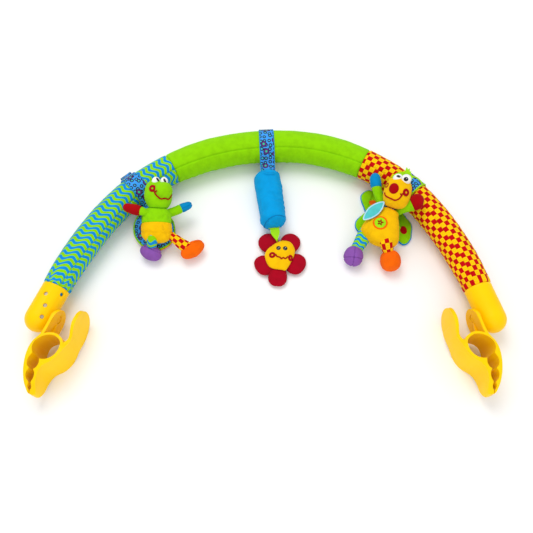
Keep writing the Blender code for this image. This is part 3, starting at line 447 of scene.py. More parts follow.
def across(along):  # side and rise of a piece that runs along a direction
    side = along.cross(up)
    side = side.normalized() if side.length > 0.01 else Vector((1, 0, 0))
    return side, side.cross(along).normalized()


def carried(last, along):  # the side of a line, turned as little as may be from the last one
    return across(along)[0] if last is None else (last - along * last.dot(along)).normalized()


def spread(shares):  # shares at even steps from 0 to 1
    return [(i / (len(shares) - 1), s) for i, s in enumerate(shares)]


def eased(rows, value):  # a smooth curve through a table of shares
    places = [row[0] for row in rows]
    heights = [row[1] for row in rows]
    last = len(places) - 1
    k = min(max(sum(1 for p in places if p <= value) - 1, 0), last - 1)

    def slope(i):
        a, b = max(i - 1, 0), min(i + 1, last)
        return (heights[b] - heights[a]) / (places[b] - places[a])

    span = places[k + 1] - places[k]
    t = (value - places[k]) / span
    return ((2 * t ** 3 - 3 * t ** 2 + 1) * heights[k] + (t ** 3 - 2 * t ** 2 + t) * span * slope(k)
            + (3 * t ** 2 - 2 * t ** 3) * heights[k + 1] + (t ** 3 - t ** 2) * span * slope(k + 1))


def smoothLine(points, steps):  # a curve through points
    points = [Vector(p) for p in points]
    line = []
    for i in range(len(points) - 1):
        a, b = points[max(i - 1, 0)], points[i]
        c, d = points[i + 1], points[min(i + 2, len(points) - 1)]
        for k in range(steps):
            t = k / steps
            line.append(0.5 * (2 * b + (c - a) * t + (2 * a - 5 * b + 4 * c - d) * t ** 2
                               + (3 * b - a - 3 * c + d) * t ** 3))
    return line + [points[-1]]


# The arch: three sleeves rolled round one bowed line
arch = {
    "middle": (0.000981, -0.089734), "radius": 0.2378, "half": math.radians(80), "height": 0.0221,
    "bow": (
        (-1.0, 1.004), (-0.875, 0.983), (-0.75, 0.977), (-0.5, 0.985), (-0.19, 0.993), (0.0, 1.0),
        (0.19, 1.017), (0.44, 1.025), (0.63, 1.015), (0.75, 1.004), (0.875, 1.002), (1.0, 1.010),
    ),
    "tube": 0.0199,
    "swell": (
        (0.0, 1.0), (0.25, 0.985), (0.375, 0.93), (0.5, 0.905), (0.75, 0.87), (0.9, 0.835), (1.0, 0.755),
    ),
    "span": 0.042, "step": 0.0015, "around": 96,
}
socket = {
    "radius": 0.0152, "wall": 0.002, "barrel": 0.038, "dome": 0.016, "leanLeft": math.radians(3),
    "leanRight": math.radians(2), "holes": (0.12, 0.30, 0.62, 0.95), "holeRadius": 0.0024,
    "turns": (62, -2, 22, 34), "boss": 0.008, "bossHeight": 0.0032, "swivel": 0.033, "gap": 0.0003,
    "pinWay": 0.0028, "screwSeat": 0.010,
}


def archPlace(share):  # shares run along the arch, from -1 at its left end to 1 at its right end
    angle = share * arch["half"]
    radius = arch["radius"] * eased(arch["bow"], share)
    return Vector((arch["middle"][0] + radius * math.sin(angle), arch["middle"][1] + radius * math.cos(angle),
                   arch["height"]))


def archFrame(share):
    low, high = max(share - 0.002, -1.0), min(share + 0.002, 1.0)
    along = (archPlace(high) - archPlace(low)).normalized()
    return archPlace(share), along, up.cross(along)


def tubeRadius(share):
    return arch["tube"] * eased(arch["swell"], abs(share))


def socketFrame(sign):  # the socket's rim, the way out of the arch, and the way that the stud points
    place, along, _ = archFrame(sign)
    lean = socket["leanRight"] if sign > 0 else -socket["leanLeft"]
    out = Matrix.Rotation(lean, 3, 'Z') @ (along * sign)
    return place, out, up.cross(out) * -sign


def seamAngle(share, rows):  # where the sleeve's long seam lies round the tube
    return math.radians(eased(rows, share))


def wobble(place, scale, seed):
    return noise.noise(place / scale + Vector((seed, seed * 0.7, -seed)))


sleeves = {
    "sleeve_waves": {
        "low": -1.0, "high": -0.375, "seam": ((-1.0, 126), (-0.7, 147), (-0.375, 131)), "finish": "waves",
        "slot": "wave_fabric", "seed": 3.0,
    },
    "sleeve_plain": {
        "low": -0.375, "high": 0.375, "seam": ((-0.375, 131), (0.0, 130), (0.375, 128)), "finish": "lime",
        "slot": "lime_fabric", "seed": 7.0,
    },
    "sleeve_checks": {
        "low": 0.375, "high": 1.0, "seam": ((0.375, 124), (0.7, 120), (1.0, 118)), "finish": "checks",
        "slot": "check_fabric", "seed": 11.0,
    },
}


# the sleeves' cloth in metres: heights and widths of its seam, puckers, folds and gathered ends
skin = {
    "lift": 0.0001, "groove": 0.0010, "grooveWide": 0.0007, "pucker": 0.00016, "puckerPitch": 0.0046,
    "puckerFade": 0.0028, "broad": (0.00045, 0.024), "fine": (0.00022, 0.008), "fold": 0.00030,
    "foldPitch": 0.0105, "foldDrift": 0.03, "gather": 0.00075, "gatherReach": 0.016, "turnIn": 0.0011,
    "turnReach": 0.002, "swirl": 0.0026, "swirlReach": 0.030, "tailFold": 0.0007, "endRings": 2,
}


def gathers(angle):  # how the small folds of a gathered end run round it
    return math.sin(13 * angle + 2.0 * math.sin(3 * angle))


def tubeRing(share, row, along, edge):  # one ring of cloth: seam groove, puckers, soft folds, gathered ends
    place, _, out = archFrame(share)
    seam = seamAngle(share, row["seam"])
    ring = []
    base = tubeRadius(share) + skin["lift"]
    ends = max(0.0, 1 - edge / skin["gatherReach"]) if abs(share) > 0.9 else 0.0
    drift = 2 * wobble(place, skin["foldDrift"], 2.0)
    for k in range(arch["around"]):
        turn = tau * k / arch["around"]
        angle = seam + turn
        away = min(turn, tau - turn) * base
        way = out * math.cos(angle) + up * math.sin(angle)
        radius = base
        radius -= skin["groove"] * math.exp(-(away / skin["grooveWide"]) ** 2)
        pucker = math.sin(tau * along / skin["puckerPitch"]) * math.exp(-away / skin["puckerFade"])
        radius += skin["pucker"] * pucker
        for (height, size), seed in ((skin["broad"], row["seed"]), (skin["fine"], row["seed"] + 5)):
            radius += height * wobble(place + way * base, size, seed)
        inside = max(0.0, -math.cos(angle)) ** 2
        radius += skin["fold"] * inside * math.sin(tau * along / skin["foldPitch"] + drift)
        radius += skin["gather"] * ends ** 1.5 * gathers(angle)
        ring.append(place + way * radius)
    return ring


def clothRow(share, row, along):  # one ring's places on the flat cloth
    turns = [k / arch["around"] for k in range(arch["around"] + 1)]
    if row["finish"] != "waves":
        around = prints["checkRows"] * prints["checkAcross"]
        return [(along + prints["check"] / 2 * t, around * t) for t in turns]
    girth = tau * tubeRadius(share)
    near = max(0.0, 1 - along / skin["swirlReach"]) ** 1.5  # the print swirls where the end is gathered
    swirls = [skin["swirl"] * near * math.sin(13 * tau * t + 2 * math.sin(9 * t)) for t in turns]
    return [(along + prints["stripe"] / 3 * t + swirl, min(t, 1 - t) * girth)
            for t, swirl in zip(turns, swirls)]


def sleeveTail(sign, row, start, places):  # the gathered end, drawn into its socket's bore
    rim, out, _ = socketFrame(sign)
    side = up.cross(out) * sign
    bore = socket["radius"] - socket["wall"] - 0.0004
    seam = seamAngle(sign, row["seam"])
    rings, cloth = [], []
    wide = tubeRadius(1)
    for reach, radius in ((-0.0022, wide), (-0.0009, wide * 0.985), (-0.0003, bore + 0.0012), (0.0006, bore),
                          (0.008, bore)):
        ring = []
        for k in range(arch["around"]):
            angle = seam + tau * k / arch["around"]
            fold = skin["tailFold"] * gathers(angle) if reach < -0.0005 else 0.0
            ring.append(rim + out * reach + (side * math.cos(angle) + up * math.sin(angle)) * (radius + fold))
        rings.append(ring)
        cloth.append([(start + sign * reach, c[1]) for c in places])
    return rings, cloth


def makeSleeve(node, row):
    low, high = row["low"], row["high"]
    length = arch["radius"] * arch["half"] * (high - low)
    steps = round(length / arch["step"])
    trim = 0.00015 / (arch["radius"] * arch["half"])
    shares = [low + (high - low) * i / steps for i in range(steps + 1)]
    shares[0] += trim if low > -1 else 0
    shares[-1] -= trim if high < 1 else 0
    rings, cloth = [], []
    for i, share in enumerate(shares):
        along = length * i / steps
        ring = tubeRing(share, row, along, length - along if high == 1 else along)
        if (low > -1 and along < skin["turnReach"]) or (high < 1 and length - along < skin["turnReach"]):
            place = archPlace(share)  # the cloth turns in where two sleeves are sewn together
            pull = skin["turnIn"] * (1 - min(along, length - along) / skin["turnReach"]) ** 2
            ring = [p - (p - place).normalized() * pull for p in ring]
        rings.append(ring)
        cloth.append(clothRow(share, row, along))
    ends = skin["endRings"]
    if low == -1:
        tail, places = sleeveTail(-1, row, 0.0, cloth[0])
        rings, cloth = tail[::-1] + rings[ends:], places[::-1] + cloth[ends:]
    if high == 1:
        tail, places = sleeveTail(1, row, length, cloth[-1])
        rings, cloth = rings[:-ends] + tail, cloth[:-ends] + places
    nodes = [node] + (["foam_padding"] if node == "sleeve_plain" else [])
    finished(rolled(node + "_cover", rings, cloth), row["finish"], row["slot"], "arch", nodes)


# Turned plastic pieces: a circle drawn out ring by ring
def turned(name, place, out, rows, sides=48):  # rows hold (place along out, radius)
    start, radius = rows[0]
    turn = out.to_track_quat('Z', 'Y').to_euler()
    piece = circle(name, sides, max(radius, tiny), place + out * start, turn)
    bpy.ops.object.mode_set(mode='EDIT')
    bpy.ops.mesh.select_all(action='SELECT')
    if radius > 1e-5:
        bpy.ops.mesh.edge_face_add()
    for (start, first), (end, second) in zip(rows, rows[1:]):
        bpy.ops.mesh.extrude_region_move(TRANSFORM_OT_translate={"value": tuple(out * (end - start))})
        factor = max(second, tiny) / max(first, tiny)
        bpy.ops.transform.resize(value=(factor, factor, factor), center_override=tuple(place + out * end))
    edited(piece, merge=2e-6)
    bpy.ops.object.transform_apply(location=True, rotation=True, scale=True)
    return piece


def domeRows(radius, length, start, steps):
    return [(start + length * math.sin(math.pi / 2 * k / steps), radius * math.cos(math.pi / 2 * k / steps))
            for k in range(steps)] + [(start + length, 0.0)]


def cutWith(piece, tool, operation='DIFFERENCE'):  # the tool is used up
    applied(piece, 'BOOLEAN', object=tool, operation=operation, solver='EXACT')
    bpy.data.objects.remove(tool, do_unlink=True)
    return piece


def makeSocket(side, sign):
    rim, out, inner = socketFrame(sign)
    outer, bore = socket["radius"], socket["radius"] - socket["wall"]
    lip = [(0.0, outer - 0.0012), (0.0004, outer - 0.0004), (0.0012, outer), (0.0030, outer + 0.0001),
           (0.0036, outer - 0.0001)]
    dome = domeRows(outer, length=socket["dome"], start=socket["barrel"], steps=14)
    piece = turned(side + "_socket_shell", rim, out, lip + dome)
    hollow = domeRows(bore, length=socket["dome"] - socket["wall"], start=socket["barrel"], steps=10)
    rows = [(0.0, bore)] + [(reach + 0.001, wide) for reach, wide in [(0.0004, bore)] + hollow]
    cutWith(piece, turned("bore", rim - out * 0.001, out, rows))
    pivot = rim + out * socket["swivel"]
    top = outer + socket["bossHeight"]
    wide = socket["boss"]
    boss = [(bore + 0.001, wide + 0.0010), (outer, wide + 0.0006), (outer + 0.0006, wide),
            (top - 0.0005, wide - 0.0001), (top, wide - 0.0006)]
    cutWith(piece, turned("boss", pivot, inner, boss, sides=40), 'UNION')
    pinWay = [(reach, socket["pinWay"]) for reach in (0.004, top + 0.004)]
    cutWith(piece, turned("pinWay", pivot, inner, pinWay, sides=24))
    cone = [(bore / 2, 0.0021), (outer - 0.0011, 0.0021), (outer + 0.0004, 0.0030), (outer + 0.004, 0.0034)]
    for station, turn in zip(socket["holes"], socket["turns"]):  # the left holes face up, the right ones down
        aim = Matrix.Rotation(math.radians(-turn), 3, out) @ (up * -sign)
        place = rim + out * (socket["barrel"] * station + socket["holeRadius"])
        cutWith(piece, turned("hole", place, aim, cone, sides=28))
    applied(piece, 'BEVEL', width=0.00025, segments=2, limit_method='ANGLE', angle_limit=math.radians(38))
    finished(piece, "plastic", "yellow_plastic", "arch", [side + "_socket"], angle=40)
    plug = turned(side + "_socket_screw_seats", rim + out * socket["screwSeat"], out,
                  [(0.0, 0.0128), (0.0008, 0.0129), (0.030, 0.0125), (0.040, 0.006), (0.041, 0.0)], sides=32)
    finished(plug, "core", "core_plastic", "arch")
    return pivot, inner


stud = {"head": 0.0034, "neck": 0.0024, "cap": 0.0039, "capTall": 0.0015, "slot": 0.0012, "stand": 0.0030}


def makePin(side, pivot, inner):
    top = socket["radius"] + socket["bossHeight"] + socket["gap"] + stud["stand"]
    low = (socket["radius"] - socket["wall"]) * 0.80
    under = top - stud["capTall"]
    rows = [(low, stud["head"]), (low + 0.0012, stud["head"] + 0.0002), (low + 0.0012, stud["neck"]),
            (under, stud["neck"]), (under, stud["cap"]), (top - 0.0007, stud["cap"] - 0.0001),
            (top - 0.0003, 0.0030), (top - 0.0003, stud["slot"]), (top - 0.0007, 0.0009), (top - 0.0007, 0.0)]
    piece = turned(side + "_swivel_stud", pivot, inner, rows, sides=32)
    finished(piece, "plastic", "yellow_plastic", "arch", [side + "_swivel_pin"], angle=40)


# Spring clamps, drawn with the middle of the ring at zero and the levers pointing up
clamp = {
    "height": 0.0442, "ring": 0.0139, "wall": 0.0027, "knuckle": math.radians(85),
    "mouthLeft": math.radians(222.7), "mouthRight": math.radians(265), "lean": math.radians(7.5),
    "leverWall": 0.0030, "fixedReach": 0.0465, "movingReach": 0.0500, "pivotUp": 0.0360, "pivotLeft": 0.0095,
    "unit": 0.0100, "over": 0.004, "ribThick": 0.0018, "ribDepth": 0.0040, "ribReach": 0.0170,
    "ribFoot": 0.0150, "soft": 0.0007, "sink": 0.0043, "sinkFrom": 0.0012,
}
fixedOuter = (
    (-1.55, 0.40), (-1.65, -0.40), (-1.64, -1.20), (-1.54, -2.00), (-1.37, -2.80), (-1.14, -3.55),
    (-0.86, -4.25), (-0.62, -4.65), (-0.46, -4.76),
)
fixedInner = (
    (-0.47, -4.46), (-0.60, -4.30), (-0.65, -4.08), (-0.58, -3.78), (-0.85, -3.52), (-1.00, -3.18),
    (-0.99, -2.82), (-0.85, -2.50), (-1.12, -2.26), (-1.26, -1.88), (-1.22, -1.40),
)
movingOuter = (
    (2.06, 3.00), (2.10, 2.20), (2.12, 1.60), (2.05, 1.00), (1.90, 0.35), (1.74, -0.25), (1.48, -0.85),
    (1.10, -1.36), (0.65, -1.74), (0.32, -2.16), (0.15, -2.68), (0.12, -3.25), (0.20, -3.85), (0.28, -4.35),
    (0.20, -4.70), (-0.05, -4.82), (-0.38, -4.78),
)
movingInner = (
    (-0.37, -4.46), (-0.26, -4.30), (-0.21, -4.08), (-0.30, -3.74), (-0.16, -3.42), (-0.12, -3.10),
    (-0.18, -2.78), (-0.36, -2.52), (-0.14, -2.28), (-0.02, -1.92), (-0.05, -1.62),
)
movingLever = ((1.52, 0.84), (1.74, 1.25), (1.80, 1.60), (1.76, 2.20), (1.68, 3.00))
fixedHeights = (
    (4.65, 0.05), (4.58, 0.22), (4.40, 0.42), (4.05, 0.60), (3.60, 0.72), (3.00, 0.755), (1.80, 0.745),
    (1.30, 0.78), (0.80, 0.84), (0.30, 0.94), (-0.40, 1.0), (-1.40, 1.0), (-2.40, 0.93), (-3.20, 0.82),
    (-3.90, 0.66), (-4.40, 0.44), (-5.10, 0.20),
)
movingHeights = (
    (5.00, 0.05), (4.96, 0.22), (4.84, 0.42), (4.62, 0.62), (4.20, 0.82), (3.60, 0.96), (3.00, 1.0),
    (2.40, 0.96), (1.80, 0.83), (1.30, 0.77), (0.80, 0.82), (0.30, 0.94), (-0.40, 1.0), (-1.40, 1.0),
    (-2.40, 0.93), (-3.20, 0.82), (-3.90, 0.66), (-4.40, 0.44), (-5.10, 0.20),
)


def arc(radius, start, end, steps):
    turns = [start + (end - start) * k / steps for k in range(steps + 1)]
    return [(radius * math.cos(turn), radius * math.sin(turn)) for turn in turns]


def drawn(rows, steps=4):
    unit = clamp["unit"]
    return [(p.x, p.y) for p in smoothLine([(x * unit, y * unit, 0) for x, y in rows], steps)]


def leverFace(height):  # how far out the fixed lever's flat face is at a height
    return -clamp["pivotLeft"] - math.tan(clamp["lean"]) * (clamp["pivotUp"] - height)


def knucklePlace():
    middle = clamp["ring"] + clamp["wall"] / 2
    return middle * math.cos(clamp["knuckle"]), middle * math.sin(clamp["knuckle"])


def fixedOutline():
    outer = clamp["ring"] + clamp["wall"]
    wide = clamp["leverWall"] / math.cos(clamp["lean"])
    foot, root = clamp["unit"] * 1.2, clamp["unit"] * 1.36
    back = math.atan2(root, leverFace(root) + wide)
    end = clamp["fixedReach"] + clamp["over"]
    kx, ky = knucklePlace()
    points = [(leverFace(end), end), (leverFace(foot), foot)] + drawn(fixedOuter) + drawn(fixedInner)
    points += arc(clamp["ring"], start=clamp["mouthLeft"], end=clamp["knuckle"], steps=36)[:-1]
    turn = clamp["knuckle"] - math.pi
    points += [(kx + x, ky + y) for x, y in arc(clamp["wall"] / 2, start=turn, end=turn + math.pi, steps=12)]
    points += arc(outer, start=clamp["knuckle"], end=back, steps=12)[1:]
    return points + [(leverFace(end) + wide, end)]


def movingOutline():
    outer = clamp["ring"] + clamp["wall"]
    kx, ky = knucklePlace()
    seat = clamp["wall"] / 2 + 0.0003
    clear = math.sqrt(seat ** 2 - (clamp["wall"] / 2) ** 2)
    half = math.atan2(clamp["wall"] / 2, clear)
    along = clamp["knuckle"] - math.pi / 2
    points = arc(clamp["ring"], start=clamp["mouthRight"] - tau, end=clamp["knuckle"] - clear / clamp["ring"],
                 steps=44)
    points += [(kx + x, ky + y) for x, y in arc(seat, start=along - half, end=along + half, steps=8)[1:-1]]
    points += arc(outer, start=clamp["knuckle"] - clear / outer, end=math.radians(30), steps=16)
    lever = drawn(movingLever)
    outside = drawn(movingOuter)
    end = clamp["movingReach"] + clamp["over"]
    return points + lever + [(lever[-1][0], end), (outside[0][0], end)] + outside + drawn(movingInner)


def platePiece(name, outline, place, half):  # a circle's points laid on the outline, filled, and drawn up
    piece = circle(name, len(outline))
    for vertex, (x, y) in zip(piece.data.vertices, outline):
        vertex.co = place(x, y, -half)
    return edited(piece, lift=place(0, 0, half) - place(0, 0, -half))


def clampHalf(name, outline, heights, place, rib=(), tools=()):
    half = clamp["height"] / 2
    piece = platePiece(name, outline, place, half + clamp["over"])
    if rib:
        cutWith(piece, platePiece("rib", rib, place, clamp["ribThick"] / 2), 'UNION')
    for tool in tools:
        cutWith(piece, tool)
    curve = [(p.x, p.y) for p in smoothLine([(y * clamp["unit"], s * half, 0) for y, s in heights], 4)]
    loop = curve + [(y, -h) for y, h in curve[::-1]]
    profile = platePiece("profile", loop, lambda y, h, x: place(x, y, h), clamp["unit"] * 4)
    cutWith(piece, profile, 'INTERSECT')
    return applied(piece, 'BEVEL', width=clamp["soft"], segments=3, limit_method='ANGLE',
                   angle_limit=math.radians(42), harden_normals=False)


def makeClamp(side, sign, pivot, inner):
    _, out, _ = socketFrame(sign)
    face = pivot + inner * (socket["radius"] + socket["bossHeight"] + socket["gap"])
    cosine, sine = math.cos(clamp["lean"]), math.sin(clamp["lean"])

    def place(x, y, z):
        over, along = x + clamp["pivotLeft"], y - clamp["pivotUp"]
        return face + inner * (over * cosine - along * sine) - out * (over * sine + along * cosine) + up * z

    foot, reach = clamp["ribFoot"], clamp["ribReach"]
    start = (leverFace(foot) + clamp["leverWall"] / 2, foot - clamp["wall"] / 2)
    rib = [start, (start[0] + clamp["ribDepth"] + clamp["leverWall"] / 2, start[1]),
           (leverFace(foot + reach) + clamp["leverWall"], foot + reach),
           (leverFace(foot + reach) + clamp["leverWall"] / 2, foot + reach)]
    bores = (("pinWay", -0.004, socket["pinWay"]), ("pinSink", clamp["sinkFrom"], clamp["sink"]))
    tools = [turned(name, face, inner, [(start, radius), (0.007, radius)], sides=28)
             for name, start, radius in bores]
    fixed = clampHalf(side + "_clamp_jaw", fixedOutline(), fixedHeights, place, rib, tools)
    finished(fixed, "plastic", "yellow_plastic", side + "_clamp", [side + "_clamp_frame"], angle=35)
    moving = clampHalf(side + "_clamp_paddle", movingOutline(), movingHeights, place)
    finished(moving, "plastic", "yellow_plastic", side + "_squeeze_lever", [side + "_clamp_lever"], angle=35)


# Straps: printed cloth looped round the sleeve, its two layers meeting in a flat tail
straps = {
    "turtle_strap": {
        "share": -0.531, "width": 0.0180, "reach": 0.0428, "body": "turtle", "sleeve": "waves", "tab": True,
    },
    "pendant_strap": {
        "share": 0.0, "width": 0.0172, "reach": 0.0378, "body": "pendant", "sleeve": "plain", "tab": False,
    },
    "butterfly_strap": {
        "share": 0.5625, "width": 0.0240, "reach": 0.0401, "body": "butterfly", "sleeve": "checks",
        "tab": False, "piping": True,
        "band": [(411.5, 176.5), (416.0, 177.8), (420.0, 181.0), (422.6, 185.0), (423.4, 188.4)],
    },
}


band = {"half": 0.0006, "thick": 0.0009, "columns": 20, "piping": 0.0010, "edge": 0.00055}


def strapFrame(share):
    low, high = archPlace(share - arch["span"]), archPlace(share + arch["span"])
    along = (high - low).normalized()
    return (low + high) / 2, along, up.cross(along)


def strapProfile(radius, reach, half):  # places (x out of the bow, z) once round the loop, tail to tail
    meet = math.radians(38)
    tip = radius / math.cos(meet)
    rows = []
    steps = 72
    for k in range(steps + 1):
        angle = math.pi - tau * k / steps
        off = math.pi - abs(angle)
        distance = radius / math.cos(meet - off) if off < meet else radius
        rows.append((distance * math.cos(angle), distance * math.sin(angle)))
    rows[0] = (-tip, half)
    rows[-1] = (-tip, -half)
    for i, (x, z) in enumerate(rows):
        if abs(z) <= half and x <= 0:
            rows[i] = (x, math.copysign(half, z if z else (1 if i < steps / 2 else -1)))
    tail = [(-reach + (reach - tip) * k / 8, half) for k in range(8)]
    return tail + rows + [(x, -z) for x, z in tail[::-1]]


def makeStrap(node, row):
    place, along, out = strapFrame(row["share"])
    widest = max(tubeRadius(row["share"] - arch["span"] / 2), tubeRadius(row["share"] + arch["span"] / 2))
    radius = widest / math.cos(math.pi / 16) + 0.0004 + band["half"]
    rows = strapProfile(radius, row["reach"], band["half"])
    columns = band["columns"]
    points = []
    girth = [0.0]
    for (x1, z1), (x2, z2) in zip(rows, rows[1:]):
        girth.append(girth[-1] + math.hypot(x2 - x1, z2 - z1))
    for x, z in rows:
        for c in range(columns + 1):
            w = (c / columns - 0.5) * row["width"]
            lift = 0.00022 * wobble(Vector((x, w, z)), 0.009, 4.0)
            centre = math.hypot(x, z)
            points.append(place + out * (x + x / centre * lift) + up * (z + z / centre * lift) + along * w)
    faces, corners = net(len(rows), columns)
    cloth = [[(girth[i], c / columns * row["width"]) for i, c in four] for four in corners]
    piece = shell(node + "_cloth", points, faces, cloth)
    grounded(applied(piece, 'SOLIDIFY', thickness=band["thick"], offset=0.0))
    finished(piece, "rings", "ring_fabric", row["body"], [node], angle=60)
    for edge in (-1, 1):
        line = [place + out * x + up * z + along * (edge * row["width"] / 2) for x, z in rows]
        thick, finish = (band["piping"], "bright") if row.get("piping") else (band["edge"], "sea")
        name = f"{node}_{'left' if edge < 0 else 'right'}_edge"
        cord = grounded(tubeAlong(name, line, radius=thick, sides=10), least=0.0001)
        finished(cord, finish, "ring_fabric", row["body"])
    if row["tab"]:
        makeTab(node, place, along, out, radius, row)
    if row.get("band"):
        stitched(node + "_band", [piece], row["band"], 0.0012, "bright", "ring_fabric",
                             row["body"], flat=0.6)
    "sleeve_" + row["sleeve"] + "_cover"


def makeTab(node, place, along, out, radius, row):  # a folded end that stands off the strap
    line = [(0.90, 0.0104), (0.98, 0.0104), (1.05, 0.0098), (1.09, 0.0086), (1.09, 0.0070), (1.05, 0.0062)]
    places = smoothLine([(x * radius, z, 0) for x, z in line], 4)
    columns = 8
    points = [place + out * spot.x + up * spot.y + along * ((c / columns - 0.5) * row["width"] * 0.8)
              for spot in places for c in range(columns + 1)]
    faces, corners = net(len(places), columns)
    cloth = [[(i * 0.0012, c * 0.0018) for i, c in four] for four in corners]
    piece = shell(node + "_folded_end", points, faces, cloth)
    applied(piece, 'SOLIDIFY', thickness=0.0008, offset=0.0)
    return finished(piece, "rings", "ring_fabric", row["body"], angle=60)


def tubeAlong(name, line, radius, sides=8, closed=False, flat=1.0):  # a cord along a line
    line = [Vector(p) for p in line]
    rings = []
    side = None
    for i, p in enumerate(line):
        before = line[i - 1] if i or closed else p
        after = line[(i + 1) % len(line)] if i < len(line) - 1 or closed else p
        along = (after - before).normalized()
        side = carried(side, along)
        rise = along.cross(side) * flat
        turns = [tau * k / sides for k in range(sides)]
        rings.append([p + side * (radius * math.cos(turn)) + rise * (radius * math.sin(turn))
                      for turn in turns])
    return looped(name, rings) if closed else rolled(name, rings)


# Soft forms
sight = {"side": 533, "focus": 38.03 / 36 * 533}
spots = {joint["name"]: Vector(joint["pos_m"]) for joint in frame["joints"]}
eggRows = (0.0, 0.42, 0.72, 0.92, 1.0, 0.92, 0.72, 0.42, 0.0)
ballRows = (0.0, 0.383, 0.707, 0.924, 1.0, 0.924, 0.707, 0.383, 0.0)


def sightLine(u, v):  # from the viewer's eye through a point of the picture
    eye = Vector(view["eye"])
    ahead = (Vector(view["aim"]) - eye).normalized()
    right = ahead.cross(up).normalized()
    rise = right.cross(ahead)
    half, focus = sight["side"] / 2, sight["focus"]
    return eye, (ahead + right * ((u - half) / focus) - rise * ((v - half) / focus)).normalized()


def pictureAxes(normal):  # right and up of the picture, laid in a skin's plane
    ahead = Vector(view["aim"]) - Vector(view["eye"])
    right = ahead.cross(up).normalized()
    side = (right - normal * right.dot(normal)).normalized()
    return side, normal.cross(side)


def seenOn(trees, u, v):  # where a line of sight meets a piece, and the skin's direction there
    eye, way = sightLine(u, v)
    best = None
    for tree in trees:
        hit, normal, _, distance = tree.ray_cast(eye, way)
        if hit is not None and (best is None or distance < best[2]):
            best = (hit, normal if normal.dot(way) < 0 else -normal, distance)
    if best is None:
        for tree in trees:
            for away in (0.55, 0.6, 0.65):
                hit, normal, _, distance = tree.find_nearest(eye + way * away)
                if best is None or distance < best[2]:
                    best = (hit, normal, distance)
    return best[0], best[1]


def form(name, line, radii, depth=1.0, sides=72):  # a stuffed form along a line of places
    rings, cloth = [], []
    far = 0.0
    side = None
    girth = tau * max(radii)
    for i, (place, radius) in enumerate(zip(line, radii)):
        before, after = line[max(i - 1, 0)], line[min(i + 1, len(line) - 1)]
        along = (after - before).normalized()
        side = carried(side, along)
        rise = side.cross(along)
        if i:
            far += (place - line[i - 1]).length
        rings.append([place + side * (radius * math.sin(tau * k / sides))
                      - rise * (radius * depth * math.cos(tau * k / sides)) for k in range(sides)])
        cloth.append([(far, k * girth / sides) for k in range(sides + 1)])
    return rolled(name, rings, cloth)


def egg(name, start, end, radius, shares, depth=1.0, sides=72, steps=44):
    start, end = Vector(start), Vector(end)
    rows = spread(shares)
    line, radii = [], []
    for j in range(1, steps):
        t = j / steps
        line.append(start.lerp(end, (1 - math.cos(math.pi * t)) / 2))
        radii.append(radius * max(eased(rows, t), 0.02))
    return form(name, line, radii, depth=depth, sides=sides)


def rounded(t, start, end):  # the ends of a stuffed form close in domes
    near = min(1.0, t / start) if start else 1.0
    far = min(1.0, (1 - t) / end) if end else 1.0
    return math.sqrt(max(0.0, 1 - (1 - near) ** 2) * max(0.0, 1 - (1 - far) ** 2))


def limbForm(name, points, rows, ends, depth=1.0, sides=64, steps=64):
    # a limb along a curve, its rows by length
    line = smoothLine(points, 20)
    far = [0.0]
    for a, b in zip(line, line[1:]):
        far.append(far[-1] + (b - a).length)
    path, radii = [], []
    k = 0
    for i in range(1, steps):
        t = (1 - math.cos(math.pi * i / steps)) / 2
        while k < len(line) - 2 and far[k + 1] < t * far[-1]:
            k += 1
        path.append(line[k].lerp(line[k + 1], (t * far[-1] - far[k]) / (far[k + 1] - far[k])))
        radii.append(max(eased(rows, t) * rounded(t, *ends), 0.0001))
    return form(name, path, radii, depth=depth, sides=sides)


def pillow(name, loop, high, low, rings=9, power=0.77):  # a crowned pad on a closed outline
    centre = sum(loop, Vector()) / len(loop)
    layers, cloth = [], []
    for i in range(-rings, rings + 1):
        turn = math.pi / 2 * i / (rings + 0.35)
        reach = math.cos(turn) ** power
        rise = math.sin(turn) * (high if i > 0 else low)
        layers.append([centre + (p - centre) * reach + up * rise for p in loop])
        cloth.append([(p.x, p.y) for p in layers[-1] + layers[-1][:1]])
    return rolled(name, layers, cloth)


def fused(name, pieces, voxel, smooth):  # forms sewn into one skin
    bare()
    for piece in pieces:
        piece.select_set(True)
    bpy.context.view_layer.objects.active = pieces[0]
    bpy.ops.object.join()
    piece = pieces[0]
    piece.name = piece.data.name = name
    applied(piece, 'REMESH', mode='VOXEL', voxel_size=voxel, use_smooth_shade=True)
    applied(piece, 'SMOOTH', factor=0.5, iterations=smooth)
    return piece


foldPitch = 0.0042
stuffing = {"press": 40.0, "mass": 0.01, "spare": -0.07, "bend": 0.25, "frames": 20}


